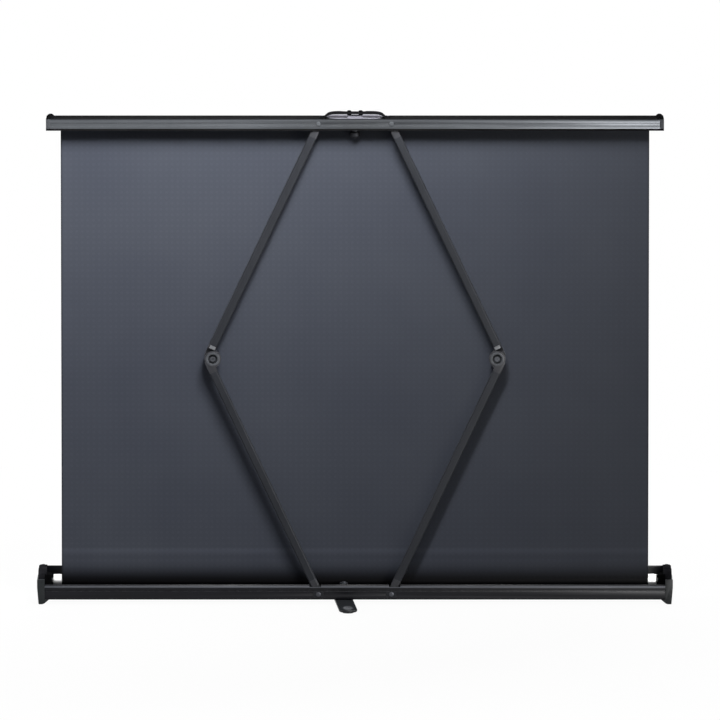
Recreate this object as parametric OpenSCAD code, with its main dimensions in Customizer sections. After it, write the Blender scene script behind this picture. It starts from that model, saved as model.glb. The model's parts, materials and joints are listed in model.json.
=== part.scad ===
// Tabletop projection screen on a folding two-sided arm frame, standing fully raised.
// Millimetres, Z up. The white viewing side faces -Y and the arms are on the +Y side.
// "Depth" is the distance forward (towards -Y) of the case's rear face. Left and right
// are named as seen from the viewing side, so the right side is at +X.

/* [Base] */
// Length over both end caps
base_len = 925; // [845:5:1005]
// Thickness of an end cap's side flange
cap_flange = 11; // [9:0.5:14]
// Depth of the base rail, rear face to front face
base_depth = 54; // [54:1:66]
// Height of the rail's underside above the floor
rail_lift = 7; // [6.8:0.1:9]
// Thickness of the rail's floor
rail_floor = 1.5; // [1.2:0.1:1.6]
// Thickness of the rail's rear and front walls
rail_wall = 2; // [1.6:0.1:2.2]
// Height of the rear wall's top edge above the floor
rear_top = 29; // [28.6:0.1:29.5]
// Height of the front wall's top edge above the floor
front_top = 50; // [47.5:0.5:52]
// Height of the light bevel along the rear wall's top edge
rear_bevel = 3.5; // [2:0.5:4]
// Width of the notch in the rear wall's top edge where an arm passes
notch_w = 16.4; // [15.5:0.1:20]
// Height of an end cap at its front
cap_top = 52.5; // [51.5:0.5:56]
// Height of an end cap at its rear face
cap_rear_top = 36.4; // [34:0.2:40]
// Width that an end cap's foot loses on its inner side
cap_foot_cut = 1; // [0.5:0.5:3]
// Thickness of the rubber pads under the end caps
pad_t = 1; // [0.6:0.1:1.6]

/* [Roller] */
// Outer diameter of the roller tube
roller_od = 17.5; // [15:0.5:18]
// Wall of the roller tube
roller_wall = 1; // [0.8:0.1:1.3]
// Bare length of roller tube beyond the cloth at each end
roller_bare = 11; // [6:0.5:11]
// Depth of the roller's axis
roller_depth = 36; // [36:0.5:38]
// Height of the roller's axis above the floor
roller_z = 31; // [30:0.5:32]
// Diameter of the axle pins
axle_d = 6; // [5:0.5:7]
// Depth of cloth still wound on the roller with the screen raised
wound_t = 0.55; // [0.4:0.05:0.8]

/* [Screen] */
// Distance from an end cap's flange to the cloth's side edge
cloth_margin = 24.5; // [22:0.5:30]
// Thickness of the cloth
cloth_t = 0.3; // [0.2:0.05:0.4]
// Width of the black border beside the white viewing area
side_border = 20.5; // [15:0.5:40]
// Distance from the viewing area's upper edge to the lid's lower edge
top_border = 8; // [6:0.5:30]
// Height of the viewing area's lower edge above the floor
view_z = 75; // [60:1:80]
// Thickness of the white viewing coat
view_t = 0.12; // [0.1:0.02:0.2]
// Side of the batten that holds the cloth under the lid
batten_side = 5; // [4:0.5:5]

/* [Lid] */
// Gap between each end of the lid and the base's end caps when it is closed
lid_end_gap = 3.7; // [3:0.1:5]
// Gap between the closed lid and the front wall's rim
lid_front_gap = 0.3; // [0.2:0.1:1]
// Height of the lid's rear face
lid_h = 17; // [16.8:0.1:17.5]
// Thickness of the lid's plate and wall
lid_t = 1.5; // [1.2:0.1:1.6]
// Thickness of a lid end cap
lid_cap_t = 5.8; // [4:0.2:5.8]
// Height of the round bump on a lid end cap
lid_bump = 3; // [2:0.5:4]
// Gap between the closed lid and the rear wall
lid_gap = 0.2; // [0.1:0.1:0.4]

/* [Arms] */
// Half the distance between the two pivots at the base and at the lid
pivot_x = 53; // [48:0.5:56]
// Height of the base pivots above the floor
pivot_z = 15; // [14.9:0.1:15.4]
// Height of the lid pivots above the lid's rear lower edge
lid_pivot_up = 10; // [9.8:0.1:10.4]
// Gap between a folded elbow and the lid's end cap
elbow_end_gap = 0.4; // [0.3:0.1:2]
// Lean of each arm from upright with the screen raised
lean = 24.05; // [20:0.05:30]
// Width of an arm tube
tube_w = 11.6; // [10:0.1:12]
// Depth of an arm tube
tube_d = 10; // [9:0.1:10.2]
// Wall of an arm tube
tube_wall = 1.2; // [1:0.1:1.6]
// How far a lower arm's tube lies outside its elbow pivot
low_offset = 7; // [6.5:0.1:7.5]
// How far an upper arm's tube lies outside its elbow pivot
up_offset = 8; // [7.6:0.1:8.4]
// Radius of a lower elbow ring
low_ring_r = 11.7; // [11:0.1:11.9]
// Radius of an upper elbow ring
up_ring_r = 12.1; // [11.9:0.1:12.2]
// Diameter of the recess round an elbow screw
elbow_recess = 14.4; // [12:0.2:16]
// Diameter of the pivot shanks
shank_d = 5; // [4:0.2:5.4]
// Diameter of the pivot rivets' heads
rivet_head = 6.8; // [6:0.2:8]

/* [Foot] */
// Width of the swivelling foot bar
foot_w = 26.7; // [20:0.1:27]
// Length of the foot bar over its round ends
foot_len = 232; // [160:2:250]
// Thickness of the foot bar
foot_t = 5; // [4:0.1:5.2]
// Turn of the foot bar away from square with the base
foot_turn = 3.5; // [0:0.5:10]
// Distance of the foot's pivot to the right of the middle
foot_x = 16.2; // [16.2:0.1:24]
// Depth of the foot's pivot
foot_depth = 16; // [14:0.5:16.5]
// Diameter of the foot's pivot bolt
foot_bolt_d = 6; // [5:0.5:6]

/* [Handle] */
// Length of the handle strap over its ends
strap_len = 102; // [94:1:110]
// Width of the handle strap
strap_w = 20; // [16:0.5:21]
// Thickness of the handle strap
strap_t = 2; // [1.5:0.1:2.2]
// Clear height under the middle of the strap
strap_gap = 5.5; // [5:0.1:7]
// Depth of the middle of the handle and latch
handle_depth = 15; // [14.8:0.1:15.2]
// Distance of each lift ear from the middle
ear_x = 8.3; // [8:0.1:9]
// Diameter of the latch stud's head
stud_d = 14.5; // [13:0.5:17]
// How far the latch stud hangs below the lid's rear lower edge
stud_drop = 12; // [11.5:0.5:14.5]
// Travel of the lifting latch
latch_lift = 2; // [1:0.1:2]

/* [Hidden] */
$fn = 48;

// Small clearances between pieces that move, and between pieces fixed together
run_gap = 0.06;
fix_gap = 0.02;
soft_gap = 0.3;
eps = 0.01;
// A folded arm still leans a little, which draws its elbow in by this much
fold_slack = 0.2;

// The rear face's Y, which centres the foot on the origin
rear_y = foot_depth;
half_base = base_len / 2;
flange_x = half_base - cap_flange;
rail_top_of_floor = rail_lift + rail_floor;
lid_half = flange_x - lid_end_gap;
cloth_w = 2 * (flange_x - cloth_margin);
view_w = cloth_w - 2 * side_border;

// Length of each arm from pivot to pivot: as long as folds flat between the lid's end caps
arm_len = lid_half - lid_cap_t - up_ring_r - elbow_end_gap + fold_slack - pivot_x;

// Heights of the raised and the closed lid, from the arms
rise = arm_len * cos(lean);
reach = arm_len * sin(lean);
elbow_x = pivot_x + reach;
elbow_z = pivot_z + rise;
lid_pivot_z = pivot_z + 2 * rise;
lid_z = lid_pivot_z - lid_pivot_up;
lid_top = lid_z + lid_h;
lid_under = lid_top - lid_t;
view_h = lid_z - top_border - view_z;
closed_pivot_z = rear_top + lid_gap + lid_pivot_up;
closed_lean = acos((closed_pivot_z - pivot_z) / (2 * arm_len));
echo(fold_range_deg = closed_lean - lean, lid_travel = lid_pivot_z - closed_pivot_z);

// Depths of the layers in the arm plane
arm_d0 = 3;
arm_d1 = arm_d0 + tube_d;
arm_mid = arm_d0 + tube_d / 2;
ring_t = 5;
low_ring_d1 = arm_d0 + ring_t;
elbow_washer_t = 0.4;
up_ring_d0 = low_ring_d1 + elbow_washer_t;
up_ring_d1 = up_ring_d0 + ring_t;
tang_d0 = 3.2;
tang_t = 4;
tang_d1 = tang_d0 + tang_t;
shank_r = shank_d / 2;

// Places along an arm, from its pivots
tang_block0 = 12;
tang_block1 = 22;
plug_len = 24;
neck0 = 13;
neck1 = 18;
neck_relief = 0.2;
tang_r_low = 6;
tang_r_up = 5;
lid_end_offset = -0.5;
tube_corner = 2.4;
plug_gap = 0.05;
tang_bite = 1;

// Sizes of the pivot rivets, bosses and washers
boss_w = 14.5;
boss_h = 9.5;
boss_t = 0.8;
rivet_head_t = 1.5;
washer_r = 5.4;
rivet_tail_r = 4;
rivet_tail_t = 1.6;
screw_head_r = 3.65;
screw_head_t = 1.8;
recess_t = 2;
socket_r = 1.9;
socket_t = 1.1;
nut_r = 4.8;
nut_t = 3;
nut_sides = 6;

// Rear face details of the rail and the lid
rail_groove_z = 19.2;
rail_groove_h = 2.2;
rail_groove_t = 0.6;
rail_foot_bevel = 2.2;
rail_foot_bevel_d = 0.9;
lip_w = 2.6;
lip_h = 6;
rim_t = 2.2;
rim_h = 2.5;
lid_depth = base_depth - rim_t - lid_front_gap;
notch_shift = 5;
lid_shoulder = 1.6;
lid_shoulder_d = 0.7;
lid_groove_z = 6.6;
lid_groove_h = 4.6;
lid_groove_t = 0.5;
lid_front_lip = 1.8;

// The end caps' bearing block and foot
block_t = 10;
block_d0 = 20;
block_z1 = 41;
cap_over = 0.5;
cap_belly = 2;
cap_cut_h = 5;
cap_ledge = 1.6;
cap_lid_gap = 0.7;
cap_inner_d0 = 6;
cap_brace = 6;
cap_brace_d = 12;
cap_arc_steps = 12;
cap_front_round = 3;
cap_pad_inset = 1.2;
cap_pad_w = 6.4;
cap_pad_len = 18;
cap_screw_r = 1.6;
cap_screw_head_r = 3;
cap_screw_head_t = 1.8;
cap_screw_top = 16;
cap_screw_x = flange_x - block_t / 2;
cap_screw_inset = 6;
cap_screw_depths = [block_d0 + cap_screw_inset, base_depth - rail_wall - cap_screw_inset];

// The roller and what is in it
roller_r = roller_od / 2;
roller_half = cloth_w / 2 + roller_bare;
axle_r = axle_d / 2;
axle_seat = 7;
plug_in = 20;
plug_flange_t = 1.4;
arbor_len = 150;
spring_r0 = 3.6;
spring_r1 = 6.2;
spring_len = 104;
wound_r = roller_r + wound_t;
cloth_d = roller_depth - wound_r;
cloth_z0 = roller_z + sqrt(pow(wound_r, 2) - pow(wound_r - cloth_t, 2)) + 0.1;
cloth_z1 = lid_under - 0.1;

// The foot's bolt, spring and nut
foot_bolt_r = foot_bolt_d / 2;
foot_end_r = foot_w / 2;
foot_pad_t = 1.4;
foot_bar_z = foot_pad_t;
foot_head_r = 5.4;
foot_head_t = 2;
foot_washer_r = 6;
foot_washer_t = 0.8;
foot_nut_r = 6.1;
foot_nut_t = 5;
foot_bolt_top = 31.5;
foot_nut_z = 25;
foot_coils = 5;
foot_wire = 1.3;
foot_spring_r = 4.7;
foot_pad_r = 8;

// The latch: keeper cup, stud, stem and yoke
stud_r = stud_d / 2;
stud_h = 10.4;
stud_head_h = 4;
stud_nose = 1.6;
stud_band = 5;
stem_r = 3;
keeper_wall = 1.6;
keeper_slot = 2.4;
keeper_h = 13;
keeper_base = 1.5;
plate_t = 1;
plate_len = 86;
plate_d0 = 2.5;
plate_d1 = 47;
clamp_t = 1;
clamp_screw_r = 1.5;
clamp_head_r = 2.6;
clamp_head_t = 0.9;
strap_tab = 6;
strap_power = 8;
tab_x = (strap_len - strap_tab) / 2;
ear_t = 6;
ear_w = 7;
ear_slot_gap = 0.35;
ear_top = 11.3;
yoke_w = 12;
yoke_len = 22.6;
yoke_lift = 0.1;
yoke_t = strap_z(yoke_len / 2) - latch_lift - soft_gap - yoke_lift;
bush_r = 5;
bush_flange_r = 6.6;
bush_flange_t = 1;
bush_bore = stem_r + run_gap;
latch_spring_r0 = 3.5;
latch_spring_r1 = 4.8;
stud_z = lid_z - stud_drop;
strap_under = lid_top + plate_t;

// Maps a depth to the Y coordinate
function y_at(d) = rear_y - d;

// A round bar along Y between two depths
module bar_y(x, z, d0, d1, r) {
    translate([x, y_at(d1), z]) rotate([-90, 0, 0]) cylinder(r = r, h = d1 - d0);
}

// A round bar along X between two places
module bar_x(x0, x1, d, z, r) {
    translate([x0, y_at(d), z]) rotate([0, 90, 0]) cylinder(r = r, h = x1 - x0);
}

// A round bar along Z between two heights
module bar_z(x, d, z0, z1, r) {
    translate([x, y_at(d), z0]) cylinder(r = r, h = z1 - z0);
}

// A block between two X places, two depths and two heights
module block(x0, x1, d0, d1, z0, z1) {
    translate([x0, y_at(d1), z0]) cube([x1 - x0, d1 - d0, z1 - z0]);
}

// An outline in depth and height, drawn out along X from x0 to x1
module along_x(x0, x1) {
    translate([x0, rear_y, 0]) rotate([90, 0, 90])
        linear_extrude(height = x1 - x0) mirror([1, 0]) children();
}

// Mirrors its children to the left side when side is -1
module on_side(side) {
    if (side > 0) children();
    else mirror([1, 0, 0]) children();
}

// Places its children in a lower arm's frame: origin at the base pivot, Z to the elbow, X outward
module in_lower_arm(side) {
    on_side(side) translate([pivot_x, 0, pivot_z]) rotate([0, lean, 0]) children();
}

// Places its children in an upper arm's frame: origin at the elbow, Z to the lid pivot, X outward
module in_upper_arm(side) {
    on_side(side) translate([elbow_x, 0, elbow_z]) rotate([0, -lean, 0]) children();
}

// BASE

module rail_outline() {
    rear_lip_z = rear_top - lip_h;
    polygon([
        [rail_foot_bevel_d, rail_lift],
        [base_depth, rail_lift],
        [base_depth, front_top],
        [base_depth - rim_t, front_top],
        [base_depth - rim_t, front_top - rim_h],
        [base_depth - rail_wall, front_top - rim_h - 1],
        [base_depth - rail_wall, rail_top_of_floor],
        [rail_wall, rail_top_of_floor],
        [rail_wall, rear_lip_z],
        [lip_w, rear_lip_z + 1],
        [lip_w, rear_top],
        [lip_w - 0.6, rear_top],
        [0, rear_top - rear_bevel],
        [0, rail_groove_z + rail_groove_h],
        [rail_groove_t, rail_groove_z + rail_groove_h - 0.3],
        [rail_groove_t, rail_groove_z + 0.3],
        [0, rail_groove_z],
        [0, rail_lift + rail_foot_bevel]
    ]);
}

module base_profile() {
    color([0.17, 0.17, 0.19]) difference() {
        along_x(-flange_x, flange_x) rail_outline();
        for (side = [-1, 1]) {
            bar_y(side * pivot_x, pivot_z, -1, rail_wall + 1, shank_r + fix_gap);
            translate([side * (pivot_x + notch_shift), 0, 0])
                block(-notch_w / 2, notch_w / 2, -1, lip_w + 1, rear_top - rear_bevel, rear_top + 1);
            for (d = cap_screw_depths)
                bar_z(side * cap_screw_x, d, rail_lift - 1, rail_top_of_floor + 1, cap_screw_r + fix_gap);
        }
        bar_z(foot_x, foot_depth, rail_lift - 1, rail_top_of_floor + 1, foot_bolt_r + fix_gap);
    }
}

// The cap's post from the side, and the dome set in on it, rising in an arc from rear to front
module cap_post_outline() {
    polygon([
        [base_depth + cap_over, pad_t],
        [-cap_over, pad_t],
        [-cap_over, cap_rear_top],
        [base_depth + cap_over, cap_rear_top]
    ]);
}

module cap_dome_outline() {
    d0 = cap_ledge - cap_over;
    d1 = base_depth + cap_over;
    arc_end = base_depth - 4;
    arc = [for (i = [0 : cap_arc_steps])
        let (t = 90 * i / cap_arc_steps)
        [d0 + (arc_end - d0) * (1 - cos(t)), cap_rear_top + (cap_top - cap_rear_top) * sin(t)]];
    polygon(concat([[d1, pad_t], [d0, pad_t]], arc, [[d1, cap_top - cap_front_round]]));
}

// The cap's outline from behind: bellied outside, cut back a little at its foot inside
module cap_rear_outline() {
    polygon([
        [flange_x + cap_foot_cut, pad_t],
        [half_base - cap_belly, pad_t],
        [half_base - cap_belly * 0.35, cap_top * 0.3],
        [half_base, cap_top * 0.48],
        [half_base, cap_top * 0.75],
        [half_base - 0.6, cap_top * 0.93],
        [half_base - 2, cap_top],
        [flange_x + 1, cap_top],
        [flange_x, cap_top - 1],
        [flange_x, pad_t + cap_cut_h]
    ]);
}

// The brace under the rail's end, from the rail down to the cap's foot
module cap_brace_outline() {
    polygon([
        [flange_x - cap_brace, rail_lift - fix_gap],
        [flange_x + cap_foot_cut, pad_t],
        [flange_x + cap_foot_cut, rail_lift - fix_gap]
    ]);
}

module base_cap(side) {
    block_x = flange_x - block_t;
    inner_x = lid_half + cap_lid_gap;
    color([0.1, 0.1, 0.11]) on_side(side) difference() {
        union() {
            intersection() {
                union() {
                    along_x(flange_x, half_base) cap_post_outline();
                    along_x(flange_x, half_base - cap_ledge) cap_dome_outline();
                }
                translate([0, rear_y + cap_over + 1, 0]) rotate([90, 0, 0])
                    linear_extrude(height = base_depth + 2 * cap_over + 2) cap_rear_outline();
            }
            intersection() {
                along_x(inner_x, flange_x + eps) cap_dome_outline();
                block(inner_x, flange_x + eps, cap_inner_d0, base_depth - rim_t - fix_gap,
                    rear_top + fix_gap, cap_top - 1);
            }
            translate([0, rear_y + cap_over, 0]) rotate([90, 0, 0])
                linear_extrude(height = cap_brace_d) cap_brace_outline();
            block(block_x, flange_x + eps, block_d0, base_depth - rail_wall - fix_gap,
                rail_top_of_floor, block_z1);
        }
        bar_x(block_x - 1, block_x + axle_seat, roller_depth, roller_z, axle_r + run_gap);
        for (d = cap_screw_depths)
            bar_z(cap_screw_x, d, rail_top_of_floor - 1, cap_screw_top, cap_screw_r + fix_gap);
    }
}

module base_cap_right() { base_cap(1); }
module base_cap_left() { base_cap(-1); }

module base_cap_screws() {
    color([0.55, 0.55, 0.57])
        for (side = [-1, 1], d = cap_screw_depths) {
            x = side * cap_screw_x;
            bar_z(x, d, rail_lift - cap_screw_head_t, rail_lift, cap_screw_head_r);
            bar_z(x, d, rail_lift - eps, cap_screw_top - 0.5, cap_screw_r);
        }
}

module base_pads() {
    color([0.05, 0.05, 0.05])
        for (side = [-1, 1], d = [cap_pad_inset, base_depth - cap_pad_inset - cap_pad_len])
            on_side(side)
                block(half_base - cap_belly - cap_pad_w, half_base - cap_belly, d, d + cap_pad_len, 0, pad_t);
}

module latch_keeper() {
    cup_r = stud_r + soft_gap;
    z0 = rail_top_of_floor;
    color([0.6, 0.6, 0.62]) difference() {
        bar_z(0, handle_depth, z0, z0 + keeper_h, cup_r + keeper_wall);
        bar_z(0, handle_depth, z0 + keeper_base, z0 + keeper_h + 1, cup_r);
        for (a = [45, 135])
            translate([0, y_at(handle_depth), z0 + keeper_base + keeper_h / 2]) rotate([0, 0, a])
                cube([3 * stud_d, keeper_slot, keeper_h], center = true);
    }
}

module base_bosses() {
    color([0.45, 0.45, 0.47])
        for (side = [-1, 1]) difference() {
            block(side * pivot_x - boss_w / 2, side * pivot_x + boss_w / 2, -boss_t, 0,
                pivot_z - boss_h / 2, pivot_z + boss_h / 2 - 1);
            bar_y(side * pivot_x, pivot_z, -boss_t - 1, 1, shank_r + fix_gap);
        }
}

// A domed rivet: head behind the wall, shank through it and the arm, spread tail
module rivet(x, z, wall_d) {
    bar_y(x, z, wall_d - rivet_head_t * 0.6, wall_d, rivet_head / 2);
    translate([x, y_at(wall_d - rivet_head_t * 0.6), z]) rotate([-90, 0, 0])
        cylinder(r1 = rivet_head / 2, r2 = rivet_head / 4, h = rivet_head_t * 0.4);
    bar_y(x, z, wall_d - eps, tang_d1 + run_gap + eps, shank_r);
    bar_y(x, z, tang_d1 + run_gap, tang_d1 + run_gap + rivet_tail_t, rivet_tail_r);
}

module washer_y(x, z, d0, d1) {
    difference() {
        bar_y(x, z, d0, d1, washer_r);
        bar_y(x, z, d0 - 1, d1 + 1, shank_r + run_gap);
    }
}

module base_rivets() {
    color([0.7, 0.7, 0.72]) for (side = [-1, 1]) rivet(side * pivot_x, pivot_z, -boss_t);
}

module base_washers() {
    color([0.85, 0.85, 0.82])
        for (side = [-1, 1]) washer_y(side * pivot_x, pivot_z, rail_wall, tang_d0 - run_gap);
}

// FOOT

module foot_bolt() {
    color([0.6, 0.6, 0.62]) {
        bar_z(foot_x, foot_depth, foot_bar_z + 0.2, foot_bar_z + 0.2 + foot_head_t, foot_head_r);
        bar_z(foot_x, foot_depth, foot_bar_z + 0.1 + foot_head_t, foot_bolt_top, foot_bolt_r);
    }
}

module foot_washer(z) {
    difference() {
        bar_z(foot_x, foot_depth, z, z + foot_washer_t, foot_washer_r);
        bar_z(foot_x, foot_depth, z - 1, z + foot_washer_t + 1, foot_bolt_r + fix_gap);
    }
}

module foot_washers() {
    color([0.7, 0.7, 0.72]) {
        foot_washer(rail_top_of_floor);
        foot_washer(foot_nut_z - foot_washer_t);
    }
}

// The spring's centre line: a steady helix between the two washers
function helix(t, z0, z1) = [
    foot_spring_r * cos(360 * foot_coils * t),
    foot_spring_r * sin(360 * foot_coils * t),
    z0 + (z1 - z0) * t
];

// A round wire swept along the helix as one closed solid
module coil(z0, z1) {
    rings = foot_coils * 14;
    sides = 6;
    pitch = (z1 - z0) / foot_coils;
    slope = atan(pitch / (2 * PI * foot_spring_r));
    least_gap = pitch * cos(slope) - foot_wire;
    echo(least_gap_between_turns = least_gap);
    points = [for (i = [0 : rings], k = [0 : sides - 1])
        let (
            t = i / rings,
            a = 360 * foot_coils * t,
            b = 360 * k / sides,
            p = helix(t, z0, z1),
            out = foot_wire / 2 * cos(b),
            up = foot_wire / 2 * sin(b)
        )
        [
            p[0] + out * cos(a) + up * sin(slope) * sin(a),
            p[1] + out * sin(a) - up * sin(slope) * cos(a),
            p[2] + up * cos(slope)
        ]];
    walls = [for (i = [0 : rings - 1], k = [0 : sides - 1])
        let (
            a = i * sides + k,
            b = i * sides + (k + 1) % sides
        )
        each [[a, b, b + sides], [a, b + sides, a + sides]]];
    start = [for (k = [1 : sides - 2]) [0, k + 1, k]];
    end = [for (k = [1 : sides - 2]) [rings * sides, rings * sides + k, rings * sides + k + 1]];
    translate([foot_x, y_at(foot_depth), 0]) polyhedron(points = points, faces = concat(walls, start, end));
}

module foot_spring() {
    color([0.65, 0.65, 0.67])
        coil(
            rail_top_of_floor + foot_washer_t + foot_wire / 2 + 0.05,
            foot_nut_z - foot_washer_t - foot_wire / 2 - 0.05
        );
}

module foot_nut() {
    color([0.7, 0.7, 0.72]) difference() {
        translate([foot_x, y_at(foot_depth), foot_nut_z])
            cylinder(r = foot_nut_r, h = foot_nut_t, $fn = nut_sides);
        bar_z(foot_x, foot_depth, foot_nut_z - 1, foot_nut_z + foot_nut_t + 1, foot_bolt_r + fix_gap);
    }
}

// Places its children in the foot's frame: origin at its pivot, Y along the bar
module in_foot() {
    translate([foot_x, y_at(foot_depth), 0]) rotate([0, 0, foot_turn]) children();
}

module foot_bar() {
    half = foot_len / 2 - foot_end_r;
    z1 = foot_bar_z + foot_t;
    color([0.12, 0.12, 0.13]) in_foot() difference() {
        union() {
            translate([-foot_end_r, -half, foot_bar_z]) cube([foot_w, 2 * half, foot_t]);
            for (s = [-1, 1]) translate([0, s * half, foot_bar_z]) cylinder(r = foot_end_r, h = foot_t);
        }
        translate([0, 0, foot_bar_z - 1])
            cylinder(r = foot_head_r + run_gap, h = 1 + 0.2 + foot_head_t + run_gap);
        translate([0, 0, foot_bar_z]) cylinder(r = foot_bolt_r + run_gap, h = foot_t + 1);
        for (s = [-1, 1]) translate([0, s * half, z1 - 0.6]) cylinder(r = foot_pad_r, h = 1);
    }
}

module foot_pads() {
    half = foot_len / 2 - foot_end_r;
    color([0.07, 0.07, 0.07]) in_foot()
        for (s = [-1, 1]) {
            translate([0, s * half, 0]) cylinder(r = foot_pad_r, h = foot_pad_t);
            translate([0, s * half * 0.45, 0]) cylinder(r = foot_pad_r, h = foot_pad_t);
        }
}

// ROLLER AND CLOTH

module roller_tube() {
    color([0.93, 0.93, 0.93]) difference() {
        bar_x(-roller_half, roller_half, roller_depth, roller_z, roller_r);
        bar_x(-roller_half - 1, roller_half + 1, roller_depth, roller_z, roller_r - roller_wall);
    }
}

// A plug pressed into the tube's end, with a flange over the tube's edge
module roller_plug_body(bore_r) {
    difference() {
        union() {
            bar_x(roller_half - plug_in, roller_half, roller_depth, roller_z, roller_r - roller_wall - fix_gap);
            bar_x(roller_half, roller_half + plug_flange_t, roller_depth, roller_z, roller_r - 0.4);
        }
        if (bore_r > 0)
            bar_x(roller_half - plug_in - 1, roller_half + plug_flange_t + 1, roller_depth, roller_z, bore_r);
    }
}

module roller_plug_right() {
    color([0.9, 0.9, 0.9]) roller_plug_body(axle_r + run_gap);
}

module roller_plug_left() {
    color([0.9, 0.9, 0.9]) mirror([1, 0, 0]) union() {
        roller_plug_body(0);
        bar_x(roller_half + plug_flange_t - eps, flange_x - block_t + axle_seat - soft_gap,
            roller_depth, roller_z, axle_r);
    }
}

module spring_arbor() {
    x1 = flange_x - block_t + axle_seat - soft_gap;
    color([0.6, 0.6, 0.62]) bar_x(x1 - arbor_len, x1, roller_depth, roller_z, axle_r);
}

module torsion_spring() {
    x1 = roller_half - plug_in - soft_gap;
    color([0.5, 0.5, 0.52]) difference() {
        bar_x(x1 - spring_len, x1, roller_depth, roller_z, spring_r1);
        bar_x(x1 - spring_len - 1, x1 + 1, roller_depth, roller_z, spring_r0);
    }
}

module cloth_roll() {
    color([0.12, 0.12, 0.13]) difference() {
        bar_x(-cloth_w / 2, cloth_w / 2, roller_depth, roller_z, wound_r);
        bar_x(-cloth_w / 2 - 1, cloth_w / 2 + 1, roller_depth, roller_z, roller_r + fix_gap);
    }
}

module screen_cloth() {
    color([0.25, 0.26, 0.3])
        block(-cloth_w / 2, cloth_w / 2, cloth_d, cloth_d + cloth_t, cloth_z0, cloth_z1);
}

module viewing_surface() {
    color([0.95, 0.95, 0.95])
        block(-view_w / 2, view_w / 2, cloth_d + cloth_t, cloth_d + cloth_t + view_t,
            view_z, view_z + view_h);
}

// ARMS

// The tube's section with rounded corners, shrunk by inset
module tube_section(inset) {
    w = tube_w - 2 * inset;
    d = tube_d - 2 * inset;
    r = max(tube_corner - inset, 0.6);
    hull()
        for (x = [-1, 1], y = [-1, 1])
            translate([x * (w / 2 - r), y * (d / 2 - r)]) circle(r = r, $fn = 24);
}

// A straight member between two places in an arm's frame, each a sideways offset and a distance
module member(a, b, inset) {
    run = b[1] - a[1];
    slant = atan((b[0] - a[0]) / run);
    translate([a[0], y_at(arm_mid), a[1]]) rotate([0, slant, 0])
        linear_extrude(height = run / cos(slant)) tube_section(inset);
}

module arm_tube(a, b) {
    difference() {
        member(a, b, 0);
        translate([0, 0, -1]) member(a, [b[0], b[1] + 2], tube_wall);
    }
}

// The piece that fills a tube's end from s_plug to s_face and carries a solid block on to s_block
module tube_end(a, b, s_plug, s_face, s_block) {
    function place(s) = [a[0] + (b[0] - a[0]) * (s - a[1]) / (b[1] - a[1]), s];
    inside = (s_face + s_block) / 2;
    member(place(min(s_plug, inside)), place(max(s_plug, inside)), tube_wall + plug_gap);
    member(place(min(s_face, s_block)), place(max(s_face, s_block)), 0);
}

// The flat tang round a pivot, reaching up to the block
module tang(r, offset, s_block, side_up) {
    difference() {
        union() {
            bar_y(0, 0, tang_d0, tang_d1, r);
            translate([-r + offset * 0.5, y_at(tang_d1), side_up > 0 ? 0 : -s_block])
                cube([2 * r, tang_t, s_block]);
        }
        bar_y(0, 0, tang_d0 - 1, tang_d1 + 1, shank_r + run_gap);
    }
}

// Places along each arm where its tube starts and ends, as offset and distance
low_a = [0, tang_block1];
low_b = [low_offset, arm_len - neck1];
up_a = [up_offset, neck1];
up_b = [lid_end_offset, arm_len - tang_block1];

module lower_pivot(side) {
    color([0.1, 0.1, 0.11]) in_lower_arm(side) {
        tang(tang_r_low, 0, tang_block0 + tang_bite, 1);
        tube_end(low_a, low_b, tang_block1 + plug_len, tang_block1, tang_block0);
    }
}

module lower_tube(side) {
    color([0.2, 0.2, 0.22]) in_lower_arm(side) arm_tube(low_a, low_b);
}

module lower_elbow(side) {
    color([0.1, 0.1, 0.11]) in_lower_arm(side) difference() {
        union() {
            translate([0, 0, arm_len]) bar_y(0, 0, arm_d0, low_ring_d1, low_ring_r);
            translate([low_offset - tube_w / 2, y_at(low_ring_d1), arm_len - neck1 + neck_relief])
                cube([tube_w, ring_t, neck1 - neck_relief]);
            translate([low_offset - tube_w / 2 - 2, y_at(low_ring_d1), arm_len - neck0])
                cube([4, ring_t, neck0]);
            tube_end(low_a, low_b, arm_len - neck1 - plug_len, arm_len - neck1, arm_len - neck0);
        }
        translate([0, 0, arm_len]) {
            bar_y(0, 0, arm_d0 - 1, low_ring_d1 + 1, shank_r + fix_gap);
            bar_y(0, 0, arm_d0 - 1, arm_d0 + recess_t, elbow_recess / 2);
        }
    }
}

module upper_elbow(side) {
    color([0.1, 0.1, 0.11]) in_upper_arm(side) difference() {
        union() {
            bar_y(0, 0, up_ring_d0, up_ring_d1, up_ring_r);
            translate([up_offset - tube_w / 2, y_at(arm_d1), 0])
                cube([tube_w, arm_d1 - up_ring_d0, neck1 - neck_relief]);
            translate([up_offset - tube_w / 2 - 2, y_at(arm_d1), 0])
                cube([4, arm_d1 - up_ring_d0, neck0]);
            tube_end(up_a, up_b, neck1 + plug_len, neck1, neck0);
        }
        bar_y(0, 0, up_ring_d0 - 1, up_ring_d1 + 1, shank_r + run_gap);
    }
}

module upper_tube(side) {
    color([0.2, 0.2, 0.22]) in_upper_arm(side) arm_tube(up_a, up_b);
}

module upper_pivot(side) {
    color([0.1, 0.1, 0.11]) in_upper_arm(side) {
        translate([0, 0, arm_len]) tang(tang_r_up, lid_end_offset, tang_block0 + tang_bite, -1);
        tube_end(up_a, up_b, arm_len - tang_block1 - plug_len, arm_len - tang_block1, arm_len - tang_block0);
    }
}

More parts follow.
